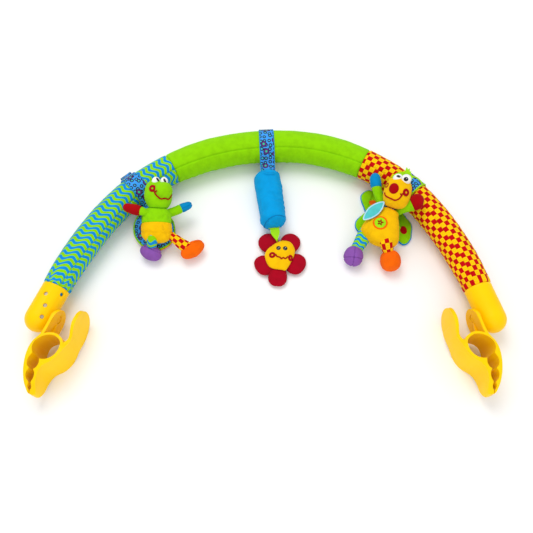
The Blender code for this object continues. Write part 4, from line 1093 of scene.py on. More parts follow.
def stuffed(piece, voxel, reach, held=None):
    # the cut cloth, a little too large, is pressed out by the filling
    applied(piece, 'REMESH', mode='VOXEL', voxel_size=voxel)
    start = [v.co.copy() for v in piece.data.vertices]
    cloth = piece.modifiers.new("cloth", 'CLOTH')
    cloth.collision_settings.use_collision = False
    rules = cloth.settings
    rules.use_pressure = True
    rules.uniform_pressure_force = stuffing["press"]
    rules.mass = stuffing["mass"]
    rules.shrink_min = stuffing["spare"]
    rules.bending_stiffness = stuffing["bend"]
    rules.effector_weights.gravity = 0
    if held:
        group = piece.vertex_groups.new(name="sewn")
        for vertex in piece.data.vertices:
            group.add([vertex.index], held(vertex.co), 'REPLACE')
        rules.vertex_group_mass = "sewn"
    for step in range(1, stuffing["frames"] + 1):
        bpy.context.scene.frame_set(step)
    shaped = piece.evaluated_get(bpy.context.evaluated_depsgraph_get()).data
    moves = [v.co - s for v, s in zip(shaped.vertices, start)]
    piece.modifiers.remove(cloth)
    piece.vertex_groups.clear()
    bpy.context.scene.frame_set(1)
    for vertex, place, move in zip(piece.data.vertices, start, moves):
        vertex.co = place + move * min(1.0, reach / max(move.length, 1e-6))
    return applied(piece, 'SUBSURF', levels=1, render_levels=1)


def sewnAt(rows):  # how firmly the seams hold the cloth: rows of (place, way, width)
    rows = [(Vector(place), Vector(way).normalized(), wide) for place, way, wide in rows]
    return lambda p: max(max(0.0, 1 - abs((p - place).dot(way)) / wide) for place, way, wide in rows)


def moved(piece, shift):  # every point by a rule of its place and its direction
    mesh = piece.data
    places = [v.co.copy() for v in mesh.vertices]
    normals = [v.normal.copy() for v in mesh.vertices]
    for vertex, place, normal in zip(mesh.vertices, places, normals):
        vertex.co = place + shift(place, normal)
    mesh.update()
    return piece


def rumpled(piece, amount=0.00035, size=0.011, seed=1.0, folds=None):  # soft unevenness of a stuffed skin
    def shift(place, normal):
        broad = wobble(place, size, seed)
        small = wobble(place, size * 0.36, seed + 3)
        rise = amount * broad + amount * 0.35 * small
        if folds:
            centre, way, reach, deep, pitch = folds if len(folds) == 5 else (*folds, foldPitch)
            near = (place - centre).length / reach
            if near < 1:
                turn = tau * (place - centre).dot(way) / pitch + 3 * wobble(place, 0.01, seed)
                rise += deep * (1 - near) ** 1.5 * math.sin(turn)
        return normal * rise
    return moved(piece, shift)


def seamed(piece, centre, way, deep=0.0006, wide=0.0007, pucker=0.00012, only=None):
    # a sewn seam where a plane meets the form
    centre, way = Vector(centre), Vector(way).normalized()

    def shift(place, normal):
        if only and not only(place):
            return Vector()
        away = abs((place - centre).dot(way))
        if away > wide * 6:
            return Vector()
        ripple = pucker * math.sin(tau * (place.x * 0.7 + place.y * 0.9 + place.z * 0.5) / 0.0031)
        return normal * (-deep * math.exp(-(away / wide) ** 2) + ripple * math.exp(-away / (wide * 2.2)))
    return moved(piece, shift)


def clearOf(piece, others, gap=0.0003, most=0.004):  # the form gives way where it is pressed against another
    for other in others:
        tree = treeOf(other)

        def shift(place, normal):
            hit, facing, _, distance = tree.find_nearest(place)
            inside = (place - hit).dot(facing) < 0
            if inside and distance < most or not inside and distance < gap:
                return hit + facing * gap - place
            return Vector()
        moved(piece, shift)
    return piece


def grounded(piece, least=0.0002):  # what would sink into the table lies flat on it
    for vertex in piece.data.vertices:
        vertex.co.z = max(vertex.co.z, least)
    return piece


def halved(piece, centre, way, name):  # the form cut in two by a plane; way points to the second half
    way = Vector(way).normalized()
    take(piece)
    bpy.ops.object.duplicate()
    second = bpy.context.object
    second.name = second.data.name = name
    for item, outer in ((piece, True), (second, False)):
        take(item)
        edge = Vector(centre) + way * (-0.00006 if outer else 0.00006)
        bpy.ops.object.mode_set(mode='EDIT')
        bpy.ops.mesh.select_all(action='SELECT')
        bpy.ops.mesh.bisect(plane_co=edge, plane_no=way, use_fill=True, clear_outer=outer,
                            clear_inner=not outer, threshold=tiny)
        edited(item)
    return piece, second


# Embroidery and other small things that lie on a skin
def stitched(name, carriers, points, thick, finish, slot, body, closed=False, steps=6, lift=0.0, flat=1.0):
    trees = [treeOf(c) for c in carriers]
    path = smoothLine([(u, v, 0) for u, v in points + (points[:1] if closed else [])], steps)
    line = []
    for p in path[:-1] if closed else path:
        hit, normal = seenOn(trees, p[0], p[1])
        line.append(hit + normal * (thick * 0.25 + lift))
    return finished(tubeAlong(name, line, radius=thick, sides=8, closed=closed, flat=flat), finish, slot,
                    body)


def ringOn(name, carrier, centre, radius, thick, finish, slot, body, squeeze=1.0):
    # a raised ring sewn on a skin
    tree = treeOf(carrier)
    hit, normal = seenOn([tree], *centre)
    side, rise = pictureAxes(normal)
    count, sides = 36, 12
    line = []
    for k in range(count):
        angle = tau * k / count
        x, y = radius * math.cos(angle) * squeeze, radius * math.sin(angle)
        place = hit + side * x + rise * y + normal * 0.004
        near, facing, _, _ = tree.ray_cast(place, -normal)
        if near is None:
            near, facing, _, _ = tree.find_nearest(place)
        line.append((near + normal * thick * 0.15, facing))
    rings = []
    for k, (place, facing) in enumerate(line):
        along = (line[(k + 1) % count][0] - line[k - 1][0]).normalized()
        wide = along.cross(facing).normalized()
        turns = [tau * j / sides for j in range(sides)]
        rings.append([place + wide * (thick * math.cos(turn)) + facing * (thick * 0.45 * math.sin(turn))
                      for turn in turns])
    return finished(looped(name, rings), finish, slot, body)


def buttonOn(name, carrier, centre, size, tall, finish, slot, body, nodes=(), turn=0.0, sunk=0.3, rim=0.35):
    # a low rounded patch on a skin: a disc drawn in and domed ring by ring
    tree = treeOf(carrier)
    hit, normal = seenOn([tree], *centre)
    piece = circle(name, 40)
    bpy.ops.object.mode_set(mode='EDIT')
    bpy.ops.mesh.select_all(action='SELECT')
    bpy.ops.mesh.edge_face_add()
    bpy.ops.mesh.extrude_region_move(TRANSFORM_OT_translate={"value": (0, 0, 1.0)})
    steps = 7
    for k in range(1, steps + 1):
        wide = math.cos(math.pi / 2 * k / (steps + 1)) ** rim
        before = math.cos(math.pi / 2 * (k - 1) / (steps + 1)) ** rim
        bpy.ops.mesh.extrude_region_move(TRANSFORM_OT_translate={"value": (0, 0, 1.0 / steps)})
        bpy.ops.transform.resize(value=(wide / before, wide / before, 1.0))
    edited(piece, merge=1e-5)
    side, rise = pictureAxes(normal)
    side, rise = side * math.cos(turn) + rise * math.sin(turn), rise * math.cos(turn) - side * math.sin(turn)
    for vertex in piece.data.vertices:
        x, y, z = vertex.co
        spot = hit + side * (x * size[0]) + rise * (y * size[1])
        near, _, _, _ = tree.ray_cast(spot + normal * 0.006, -normal)
        base = (near - spot).dot(normal) if near is not None and (near - spot).length < 0.006 else -0.0012
        height = (z - 1.0) * tall if z > 1.0 else (z - 1.0) * tall * 2 * sunk
        vertex.co = spot + normal * (base + height)
    return finished(edited(piece), finish, slot, body, nodes)


def pupilOn(names, carrier, body, place, size, glints, turn=0.0):  # a black patch with small bright glints, which are painted highlights: pale discs standing in for light reflected off the pupil
    pupil = buttonOn(names[0], carrier, place, size, 0.0004, "ink", "white_plush", body, turn=turn, sunk=0.5)
    # painted highlights: each glint is a pale disc laid on the pupil where light would glint
    for k, (x, y, wide) in enumerate(glints):
        buttonOn(f"{names[1]}_{k + 1}", pupil, (place[0] + x, place[1] + y), (wide, wide), 0.0002, "glint",
                 "white_plush", body, sunk=0.5)


# Limbs: an arm is one tapered form cut at its cuff, a leg is a printed tube sewn to a stuffed foot
limbSlots = {
    "lime": "lime_fabric", "legWaves": "wave_fabric", "legChecks": "check_fabric", "red": "red_plush",
    "sea": "blue_plush", "hand": "blue_plush", "purple": "purple_plush", "orange": "orange_plush",
}


def placed(toy, name):  # a place that a toy's table gives in shares of its length from its foot
    return Vector(toy["foot"]) + Vector(toy[name] if isinstance(name, str) else name) * toy["length"]


def makeArm(toy, toyName, part, row):
    points = [placed(toy, p) for p in row["path"]]
    piece = limbForm(f"{toyName}_{part}_sleeve", points, row["rows"], row["ends"],
                     depth=row.get("depth", 1.0))
    cuff = placed(toy, row["cuff"])
    way = points[-1] - cuff
    side = way.cross(up).normalized()
    applied(piece, 'SUBSURF', levels=1, render_levels=1)
    rumpled(piece, amount=0.00026, size=0.008, seed=2.0 + len(part),
            folds=(points[0], way.normalized(), 0.010, 0.00022))
    seamed(piece, cuff, way, deep=0.0006, wide=0.0006, pucker=0.0001)
    seam = way.cross(side).normalized() + side * row.get("seamTurn", 0.0)
    seamed(piece, cuff, seam, deep=0.0007, wide=0.0005, pucker=0.00010,
           only=lambda p: (p - cuff).dot(way) > 0)
    arm, hand = halved(piece, cuff, way, f"{toyName}_{row['name']}_mitt")
    bend = placed(toy, row["bent"]) if row.get("bent") else spots[f"{toyName}_{part}_flap"]
    dressLimb(toyName, part, row, (arm, hand), (points[0], bend))


def dressLimb(toyName, part, row, pieces, bend):
    # the cloth stays where it is drawn, and the hand or foot rides along with the limb's body
    body = f"{toyName}_{part}_limb"
    limb, end = pieces
    finished(limb, row["cloth"], limbSlots[row["cloth"]], (toyName, body, *bend), [f"{toyName}_{part}"])
    finished(end, row["end"], limbSlots[row["end"]], body, [f"{toyName}_{row['name']}"])


def makeLeg(toy, toyName, part, row):
    points = [placed(toy, p) for p in row["path"]]
    leg = limbForm(f"{toyName}_{part}_tube", points, row["rows"], (0.04, 0.0), depth=row.get("depth", 1.0))
    rumpled(leg, amount=0.00028, size=0.007, seed=4.0 + len(part),
            folds=(points[0], (points[-1] - points[0]).normalized(), 0.012, 0.0002))
    start, end = (placed(toy, p) for p in row["foot"])
    foot = egg(f"{toyName}_{row['name']}_boot", start, end, row["footRadius"], row.get("footRows", eggRows),
               depth=row.get("footDepth", 1.0), sides=80, steps=56)
    applied(foot, 'SUBSURF', levels=1, render_levels=1)
    rumpled(foot, amount=0.00032, size=0.010, seed=6.0)
    for offset, way in row["seams"]:
        seamed(foot, (start + end) / 2 + Vector(offset) * toy["length"], way, deep=0.0011, wide=0.0006,
               pucker=0.00014)
    grounded(foot)
    grounded(leg)
    bend = spots[f"{toyName}_{part}_flap"].lerp(points[-1], 0.35)
    dressLimb(toyName, part, row, (leg, foot), (points[0], bend))


def makeEyes(toyName, toy):  # the right eye stands in front, and the left one is pressed by it
    eyes = {}
    for side in ("right", "left"):
        low, high, radius, depth = toy["eyes"][side]
        eye = egg(f"{toyName}_{side}_eyeball", placed(toy, low), placed(toy, high), radius, ballRows,
                  depth=depth, sides=56, steps=32)
        rumpled(eye, amount=0.00012, size=0.006, seed=9.0)
        if eyes:
            clearOf(eye, [eyes["right"]], gap=0.0001)
        eyes[side] = finished(eye, "eye", "white_plush", toyName, [f"{toyName}_{side}_eye"])
    for side, eye in eyes.items():
        # the glints laid on each pupil are painted highlights
        place, size, turn, glints = toy["pupils"][side]
        names = f"{toyName}_{side}_pupil", f"{toyName}_{side}_glint"
        pupilOn(names, eye, toyName, place, size, glints, turn)


def rimOf(start, end, radius, shares, grow=1.0, low=0.0):  # the widest line round a flat form
    rows = spread(shares)
    along = (end - start).normalized()
    side, _ = across(along)
    left, right = [], []
    for j in range(0, 41):
        t = j / 40
        place = start.lerp(end, (1 - math.cos(math.pi * t)) / 2) + up * low
        reach = radius * max(eased(rows, t), 0.0) * grow
        left.append(place + side * reach)
        right.append(place - side * reach)
    return left + right[::-1][1:-1]


# The turtle
turtle = {
    "foot": (-0.15704, 0.08284, 0.0), "length": 0.1, "neck": (0.283, -0.324, 0.330),
    "seat": (0.289, -0.720, 0.190), "chin": (0.312, -0.350, 0.340), "crown": (0.297, -0.030, 0.460),
    "muzzleLow": (0.388, -0.292, 0.480), "muzzleHigh": (0.370, -0.100, 0.520),
    "shellHigh": (0.099, -0.204, 0.052), "shellLow": (0.339, -0.720, 0.052),
    "torsoRows": (0.0, 0.70, 0.90, 0.96, 0.98, 0.99, 0.89, 0.60, 0.0), "torso": 0.0182, "torsoDepth": 0.75,
    "headRows": (0.0, 0.55, 0.80, 0.95, 1.0, 0.95, 0.80, 0.50, 0.0), "head": 0.0156, "muzzle": 0.0108,
    "waist": 0.46, "shell": 0.0240, "shellDepth": 0.20,
    "eyes": {
        "left": ((0.291, -0.146, 0.525), (0.291, -0.038, 0.545), 0.0047, 1.0),
        "right": ((0.387, -0.151, 0.525), (0.387, -0.042, 0.545), 0.0045, 1.0),
    },
    # each pupil: its place in the picture, its size, its turn, and its glints (x, y, width), which are
    # painted highlights
    "pupils": {
        "left": ((158.0, 179.6), (0.0016, 0.0031), 0.72, ((0.5, -0.7, 0.0003),)),
        "right": ((164.9, 180.5), (0.0014, 0.0028), 0.50, ((0.4, -0.6, 0.0003),)),
    },
    "mouth": [
        (154.6, 192.2), (156.0, 194.9), (160.6, 198.8), (164.8, 198.3), (168.1, 199.3), (170.0, 197.5),
        (171.3, 194.6),
    ],
    "mouthTick": [(153.9, 191.5), (155.8, 191.5), (157.0, 190.4)], "cheek": (152.3, 188.3),
}
turtleLimbs = {
    "left_arm": {
        "path": (
            (0.235, -0.430, 0.345), (0.211, -0.428, 0.372), (0.124, -0.413, 0.400), (0.020, -0.390, 0.405),
            (-0.090, -0.355, 0.410),
        ),
        "cuff": (0.119, -0.412, 0.400), "bent": (0.124, -0.413, 0.400),
        "rows": (
            (0.0, 0.0026), (0.15, 0.0034), (0.36, 0.0052), (0.42, 0.0057), (0.55, 0.0063), (0.70, 0.0060),
            (0.86, 0.0050), (1.0, 0.0042),
        ),
        "ends": (0.05, 0.13), "cloth": "lime", "end": "red", "name": "left_hand", "seamTurn": 0.5,
    },
    "right_arm": {
        "path": (
            (0.380, -0.380, 0.275), (0.425, -0.362, 0.270), (0.489, -0.332, 0.262), (0.555, -0.288, 0.250),
            (0.682, -0.211, 0.235),
        ),
        "cuff": (0.555, -0.288, 0.250),
        "rows": (
            (0.0, 0.0048), (0.15, 0.0051), (0.45, 0.0053), (0.60, 0.0054), (0.80, 0.0050), (0.92, 0.0043),
            (1.0, 0.0038),
        ),
        "ends": (0.08, 0.12), "cloth": "lime", "end": "hand", "name": "right_hand", "seamTurn": 1.2,
    },
    "left_leg": {
        "path": (
            (0.257, -0.640, 0.225), (0.256, -0.700, 0.258), (0.243, -0.730, 0.212), (0.225, -0.742, 0.130),
            (0.215, -0.770, 0.105),
        ),
        "rows": ((0.0, 0.0056), (0.3, 0.0060), (0.7, 0.0058), (1.0, 0.0048)),
        "foot": ((0.096, -0.745, 0.105), (0.338, -0.865, 0.105)), "footRadius": 0.0091, "cloth": "legWaves",
        "end": "purple", "name": "left_foot", "seams": (((0.012, 0.035, 0.02), (0.38, 0.80, 0.30)),),
    },
    "right_leg": {
        "path": (
            (0.420, -0.600, 0.190), (0.451, -0.626, 0.200), (0.533, -0.687, 0.185), (0.610, -0.736, 0.150),
            (0.668, -0.760, 0.125),
        ),
        "rows": ((0.0, 0.0046), (0.25, 0.0052), (0.65, 0.0066), (1.0, 0.0074)),
        "foot": ((0.586, -0.863, 0.118), (0.832, -0.681, 0.122)), "footRadius": 0.0093, "cloth": "legChecks",
        "end": "orange", "name": "right_foot", "seams": (((0.0, 0.0, 0.0), (-0.45, 0.66, -0.35)),),
    },
}


def makeTurtle():
    at = {name: placed(turtle, name) for name in ("neck", "seat", "chin", "crown", "muzzleLow", "muzzleHigh",
                                                  "shellHigh", "shellLow")}
    line = at["seat"] - at["neck"]
    waist = at["neck"].lerp(at["seat"], turtle["waist"])
    whole = egg("turtle_torso_top", at["neck"], at["seat"], turtle["torso"], turtle["torsoRows"],
                depth=turtle["torsoDepth"], sides=96, steps=64)
    stuffed(whole, voxel=0.0011, reach=0.0011, held=sewnAt([(waist, line, 0.0022)]))
    lap = at["seat"] + Vector((0.004, 0.012, 0.012))
    rumpled(whole, amount=0.00035, size=0.012, seed=1.0, folds=(lap, Vector((1, 0.4, 0)), 0.014, 0.00025))
    seamed(whole, waist, line, deep=0.0006, wide=0.0006, pucker=0.0001)
    torsoForm = whole.copy()
    torsoForm.data = whole.data.copy()
    torsoForm.name = "torsoForm"
    top, belly = halved(whole, waist, line, "turtle_torso_low")
    head = egg("turtle_skull", at["chin"], at["crown"], turtle["head"], turtle["headRows"], depth=1.0,
               sides=72, steps=44)
    stuffed(head, voxel=0.0011, reach=0.0009)
    muzzle = egg("muzzle", at["muzzleLow"], at["muzzleHigh"], turtle["muzzle"], ballRows, depth=1.0, sides=60,
                 steps=34)
    head = fused("turtle_head_skin", [head, muzzle], voxel=0.0008, smooth=3)
    clearOf(head, [torsoForm], gap=0.0003)
    rumpled(head, amount=0.0003, size=0.010, seed=5.0, folds=(at["chin"], Vector((1, 0.2, 0)), 0.012, 0.0002))
    finished(head, "lime", "lime_fabric", "turtle", ["turtle_head"])
    finished(top, "lime", "lime_fabric", "turtle", ["turtle_torso"])
    finished(belly, "yellow", "yellow_plush", "turtle", ["turtle_belly"])
    makeEyes("turtle", turtle)
    for word in ("mouth", "mouthTick"):
        stitched(f"turtle_{word}_stitch", [head], turtle[word], 0.00088, "stitch", "red_plush", "turtle")
    ringOn("turtle_cheek_stitch", head, turtle["cheek"], 0.0028, 0.0016, "stitch", "red_plush", "turtle")
    makeShell(at, torsoForm)
    for part, row in turtleLimbs.items():
        (makeArm if part.endswith("arm") else makeLeg)(turtle, "turtle", part, row)
    bpy.data.objects.remove(torsoForm, do_unlink=True)


def makeShell(at, torsoForm):  # a flat printed pad under the turtle, with two rows of piping
    pad = egg("turtle_shell_pad", at["shellHigh"], at["shellLow"], turtle["shell"], eggRows,
              depth=turtle["shellDepth"], sides=96, steps=64)
    layer = pad.data.uv_layers.active
    for loop in pad.data.loops:
        place = pad.data.vertices[loop.vertex_index].co
        layer.data[loop.index].uv = (place.x, place.y)
    rumpled(pad, amount=0.0005, size=0.014, seed=8.0)
    clearOf(pad, [torsoForm], gap=0.0003)
    grounded(pad)
    finished(pad, "rings", "ring_fabric", "turtle", ["turtle_shell"])
    for name, low, grow, word in (("turtle_shell_piping", 0.0006, 1.0, "lime"),
                                  ("turtle_shell_binding", -0.0012, 0.985, "orange")):
        line = rimOf(at["shellHigh"], at["shellLow"], turtle["shell"], eggRows, grow=grow, low=low)
        cord = grounded(tubeAlong(name, line, radius=0.0011, sides=10, closed=True))
        finished(cord, word, "ring_fabric", "turtle")


# The butterfly
flyer = {
    "foot": (0.17245, 0.08173, 0.0), "length": 0.1, "neck": (-0.235, -0.325, 0.340),
    "seat": (-0.445, -0.728, 0.170), "chin": (-0.228, -0.345, 0.390), "crown": (-0.138, -0.036, 0.510),
    "torso": 0.0238, "torsoRows": (0.0, 0.40, 0.52, 0.72, 0.90, 1.0, 0.94, 0.60, 0.0), "torsoDepth": 0.72,
    "headRows": (0.0, 0.60, 0.85, 0.97, 1.0, 0.97, 0.86, 0.60, 0.0), "head": 0.0153,
    "eyes": {
        "left": ((-0.246, -0.092, 0.580), (-0.144, -0.048, 0.600), 0.0046, 0.9),
        "right": ((-0.118, -0.158, 0.590), (-0.090, -0.042, 0.610), 0.0060, 1.0),
    },
    # each pupil: its place in the picture, its size, its turn, and its glints (x, y, width), which are
    # painted highlights
    "pupils": {
        "left": ((398.6, 176.2), (0.0025, 0.0016), -0.25, ((0.7, -0.3, 0.0003),)),
        "right": ((406.0, 179.1), (0.0027, 0.0025), -0.20, ((0.8, -0.7, 0.00038),)),
    },
    "mouth": [
        (384.9, 192.8), (385.5, 195.4), (387.9, 197.2), (391.6, 198.9), (395.0, 200.2), (398.6, 199.0),
        (401.3, 196.0), (402.8, 193.6),
    ],
    "mouthTick": [(400.4, 193.4), (401.6, 195.4), (403.0, 193.4), (404.2, 195.0)], "cheek": (406.1, 192.5),
    "farCheek": (386.9, 185.2), "badge": (380.3, 222.5), "nose": (393.7, 188.3),
    "tagLow": (-0.583, -0.487, 0.356), "tagHigh": (-0.348, -0.300, 0.428), "tag": 0.0060,
    "frill": [
        (-0.248, -0.020, 0.485), (-0.221, 0.030, 0.500), (-0.173, 0.058, 0.510), (-0.115, 0.070, 0.515),
        (-0.057, 0.066, 0.515), (-0.010, 0.042, 0.510), (0.014, 0.004, 0.495),
    ],
    "frillRoots": ((-0.225, -0.075, 0.470), (-0.040, -0.080, 0.480)),
    "leaves": ((406.8, 167.3, 1.35), (409.4, 168.4, 1.05), (411.2, 171.2, 0.6)),
}
flyerLimbs = {
    "left_arm": {
        "path": (
            (-0.330, -0.270, 0.270), (-0.350, -0.210, 0.290), (-0.372, -0.126, 0.315),
            (-0.395, -0.040, 0.345), (-0.406, 0.060, 0.372), (-0.406, 0.141, 0.385),
        ),
        "cuff": (-0.394, -0.040, 0.344),
        "rows": (
            (0.0, 0.0042), (0.15, 0.0044), (0.40, 0.0054), (0.55, 0.0060), (0.68, 0.0066), (0.82, 0.0064),
            (0.93, 0.0056), (1.0, 0.0048),
        ),
        "ends": (0.05, 0.16), "cloth": "lime", "end": "hand", "name": "left_hand", "seamTurn": 0.8,
    },
    "right_arm": {
        "path": (
            (-0.180, -0.355, 0.265), (-0.140, -0.343, 0.300), (-0.085, -0.332, 0.350),
            (-0.025, -0.322, 0.400), (0.058, -0.292, 0.452), (0.114, -0.280, 0.468),
        ),
        "cuff": (-0.015, -0.318, 0.407),
        "rows": (
            (0.0, 0.0038), (0.15, 0.0042), (0.40, 0.0058), (0.54, 0.0070), (0.66, 0.0088), (0.80, 0.0092),
            (0.92, 0.0080), (1.0, 0.0066),
        ),
        "ends": (0.05, 0.20), "cloth": "lime", "end": "red", "name": "right_hand", "seamTurn": 0.3,
    },
    "left_leg": {
        "path": (
            (-0.500, -0.520, 0.165), (-0.540, -0.579, 0.170), (-0.599, -0.673, 0.155),
            (-0.645, -0.748, 0.130), (-0.672, -0.800, 0.122),
        ),
        "rows": ((0.0, 0.0086), (0.3, 0.0088), (0.7, 0.0076), (1.0, 0.0068)),
        "foot": ((-0.655, -0.744, 0.122), (-0.734, -0.955, 0.122)), "footRadius": 0.0114,
        "footRows": (0.0, 0.50, 0.78, 0.94, 1.0, 0.96, 0.80, 0.50, 0.0), "cloth": "legWaves", "end": "purple",
        "name": "left_foot",
        "seams": (((0.0, -0.035, 0.0), (0.1, 0.9, 0.28)), ((0.0, 0.0, 0.0), (0.95, -0.15, 0.0))),
    },
    "right_leg": {
        "path": (
            (-0.327, -0.650, 0.225), (-0.330, -0.725, 0.262), (-0.315, -0.780, 0.225),
            (-0.290, -0.822, 0.160), (-0.274, -0.860, 0.125),
        ),
        "rows": ((0.0, 0.0080), (0.3, 0.0078), (0.7, 0.0064), (1.0, 0.0060)),
        "foot": ((-0.272, -0.794, 0.130), (-0.268, -1.032, 0.128)), "footRadius": 0.0121,
        "footRows": (0.0, 0.52, 0.80, 0.95, 1.0, 0.95, 0.80, 0.52, 0.0), "cloth": "legChecks",
        "end": "orange", "name": "right_foot", "seams": (((0.0, 0.0, -0.045), (0.05, -0.15, 1.0)),),
    },
}
wings = {
    "left": {
        "seam": ((0.1460, 0.0456, 0.0232), (0.1375, 0.0292, 0.0097)),
        "edge": (
            (-0.335, 0.060), (-0.385, 0.118), (-0.448, 0.120), (-0.520, 0.055), (-0.520, -0.034),
            (-0.498, -0.122), (-0.490, -0.205), (-0.558, -0.259), (-0.611, -0.323), (-0.622, -0.401),
            (-0.590, -0.461), (-0.532, -0.485),
        ),
        "dot": (372.6, 202.6), "dotSize": (0.0042, 0.0044), "dotFinish": "orange",
    },
    "right": {
        "seam": ((0.1477, 0.0447, 0.0232), (0.1393, 0.0283, 0.0097)),
        "edge": (
            (-0.110, -0.200), (-0.042, -0.206), (0.009, -0.284), (0.049, -0.352), (0.054, -0.420),
            (0.040, -0.490), (0.026, -0.560), (-0.024, -0.625), (-0.077, -0.638), (-0.141, -0.582),
            (-0.230, -0.560),
        ),
        "dot": (403.7, 230.0), "dotSize": (0.0043, 0.0056), "dotFinish": "red",
    },
}
wingShape = {"thick": 0.0048, "lift": 0.0008}


def makeWing(side, torso):  # a flat lime pillow, piped in blue round its edge
    row = wings[side]
    lift = wingShape["lift"] + wingShape["thick"] / 2
    edge = [placed(flyer, (x, y, 0)) + up * lift for x, y in row["edge"]]
    corners = [Vector(row["seam"][0])] + edge + [Vector(row["seam"][1])]
    loop = smoothLine(corners + corners[:1], 8)[:-1]
    centre = sum(loop, Vector()) / len(loop)
    body = f"butterfly_{side}_wing"
    whole = pillow(body + "_pad", loop, high=wingShape["thick"] / 2, low=wingShape["thick"] / 2)
    rumpled(whole, amount=0.0003, size=0.009, seed=12.0, folds=(centre, Vector((1, 0.5, 0)), 0.016, 0.0002))
    clearOf(whole, [torso], gap=0.0006, most=0.02)
    grounded(whole)
    finished(whole, "lime", "lime_fabric", body, [body])
    line = [p + (p - centre).normalized() * 0.0001 - up * 0.0011 for p in loop]
    cord = tubeAlong(body + "_piping", line, radius=0.0010, sides=10, closed=True)
    clearOf(cord, [torso], gap=0.0006, most=0.02)
    grounded(cord)
    finished(cord, "sea", "blue_plush", body)
    buttonOn(body + "_dot", whole, row["dot"], row["dotSize"], 0.0004, row["dotFinish"],
             "orange_plush" if side == "left" else "red_plush", body)


def makeFlyer():
    at = {name: placed(flyer, name) for name in ("neck", "seat", "chin", "crown")}
    torso = egg("butterfly_torso_skin", at["neck"], at["seat"], flyer["torso"] - 0.0006, flyer["torsoRows"],
                depth=flyer["torsoDepth"], sides=96, steps=64)
    stuffed(torso, voxel=0.0012, reach=0.0010)
    lap = at["seat"] + Vector((-0.004, 0.016, 0.014))
    rumpled(torso, amount=0.0004, size=0.014, seed=21.0, folds=(lap, Vector((1, -0.4, 0)), 0.018, 0.00028))
    head = egg("butterfly_head_skin", at["chin"], at["crown"], flyer["head"], flyer["headRows"], depth=1.0,
               sides=84, steps=56)
    stuffed(head, voxel=0.0011, reach=0.0008)
    clearOf(head, [torso], gap=0.0003)
    rumpled(head, amount=0.0003, size=0.011, seed=23.0,
            folds=(at["chin"], Vector((1, 0.2, 0)), 0.012, 0.0002))
    finished(head, "yellow", "yellow_plush", "butterfly", ["butterfly_head"])
    finished(torso, "yellow", "yellow_plush", "butterfly", ["butterfly_torso"])
    makeEyes("butterfly", flyer)
    buttonOn("butterfly_nose_patch", head, flyer["nose"], (0.0058, 0.0065), 0.0026, "red", "red_plush",
             "butterfly", ["butterfly_nose"], sunk=0.4, rim=0.5)
    for word in ("mouth", "mouthTick"):
        stitched(f"butterfly_{word}_stitch", [head], flyer[word], 0.00085, "stitch", "red_plush", "butterfly")
    ringOn("butterfly_right_cheek_stitch", head, flyer["cheek"], 0.0029, 0.0016, "stitch", "red_plush",
           "butterfly")
    ringOn("butterfly_left_cheek_stitch", head, flyer["farCheek"], 0.0024, 0.0008, "stitch", "red_plush",
           "butterfly")
    makeBadge(torso)
    makeTag()
    makeTuft()
    for side in ("left", "right"):
        makeWing(side, torso)
    for part, row in flyerLimbs.items():
        (makeArm if part.endswith("arm") else makeLeg)(flyer, "butterfly", part, row)


def makeBadge(torso):  # a round patch with a bound edge and a small five-leaved star
    u, v = flyer["badge"]
    buttonOn("butterfly_badge_disc", torso, (u, v), (0.0070, 0.0070), 0.0004, "bright", "orange_plush",
             "butterfly", ["butterfly_badge"])
    ringOn("butterfly_badge_ring", torso, (u, v), 0.0075, 0.0010, "orange", "orange_plush", "butterfly")
    star = []
    for k in range(10):
        reach, angle = (2.9 if k % 2 == 0 else 1.15), math.pi * k / 5 - math.pi / 2 + 0.3
        star.append((u + reach * math.cos(angle), v + reach * 0.95 * math.sin(angle)))
    stitched("butterfly_badge_star", [torso], star, 0.00055, "stitch", "orange_plush", "butterfly", True, 5,
             0.0005,
             0.7)


def makeTag():  # a bare leaf-shaped tag with a pale binding
    start, end = placed(flyer, "tagLow"), placed(flyer, "tagHigh")
    leafRows = (0.0, 0.22, 0.55, 0.86, 1.0, 0.86, 0.55, 0.22, 0.0)
    tag = egg("butterfly_tag_cloth", start, end, flyer["tag"], leafRows, depth=0.13, sides=48, steps=40)
    rumpled(tag, amount=0.0003, size=0.008, seed=31.0)
    finished(tag, "tag", "teal_tag", "butterfly", ["butterfly_tag"])
    line = rimOf(start, end, flyer["tag"] + 0.0001, leafRows)
    cord = tubeAlong("butterfly_tag_edge", line, radius=0.0009, sides=8, closed=True, flat=0.7)
    finished(cord, "tagEdge", "teal_tag", "butterfly")


def makeTuft():  # a felt frill that stands off the top of the head, with a few pointed leaves
    low, high = (placed(flyer, p) for p in flyer["frillRoots"])
    tops = smoothLine([placed(flyer, p) for p in flyer["frill"]], 6)
    layers = []
    for k, tip in enumerate(tops):
        root = low.lerp(high, k / (len(tops) - 1))
        way = (tip - root) * (1 + 0.05 * math.sin(k * 1.9))
        thick = way.cross(high - low).normalized() * 0.0008
        layers.append([(root + tip) / 2 + way * (math.cos(tau * j / 16) / 2) + thick * math.sin(tau * j / 16)
                       for j in range(16)])
    crest = rolled("butterfly_crest", layers)
    finished(crest, "bright", "lime_fabric", "butterfly", ["butterfly_tuft"])
    base = tops[int(len(tops) * 0.72)]
    for k, (u, v, size) in enumerate(flyer["leaves"]):
        eye, way = sightLine(u, v)
        tip = eye + way * ((base - eye).dot(way))
        root = base.lerp(low.lerp(high, 0.7), 0.35)
        leaf = egg(f"butterfly_leaf_{k + 1}", root, tip, 0.0021 * (0.6 + 0.4 * size),
                   (0.3, 0.7, 0.95, 1.0, 0.9, 0.7, 0.45, 0.2, 0.0), depth=0.35, sides=28, steps=24)
        rumpled(leaf, amount=0.0002, size=0.005, seed=41.0 + k)
        finished(leaf, "bright", "lime_fabric", "butterfly")


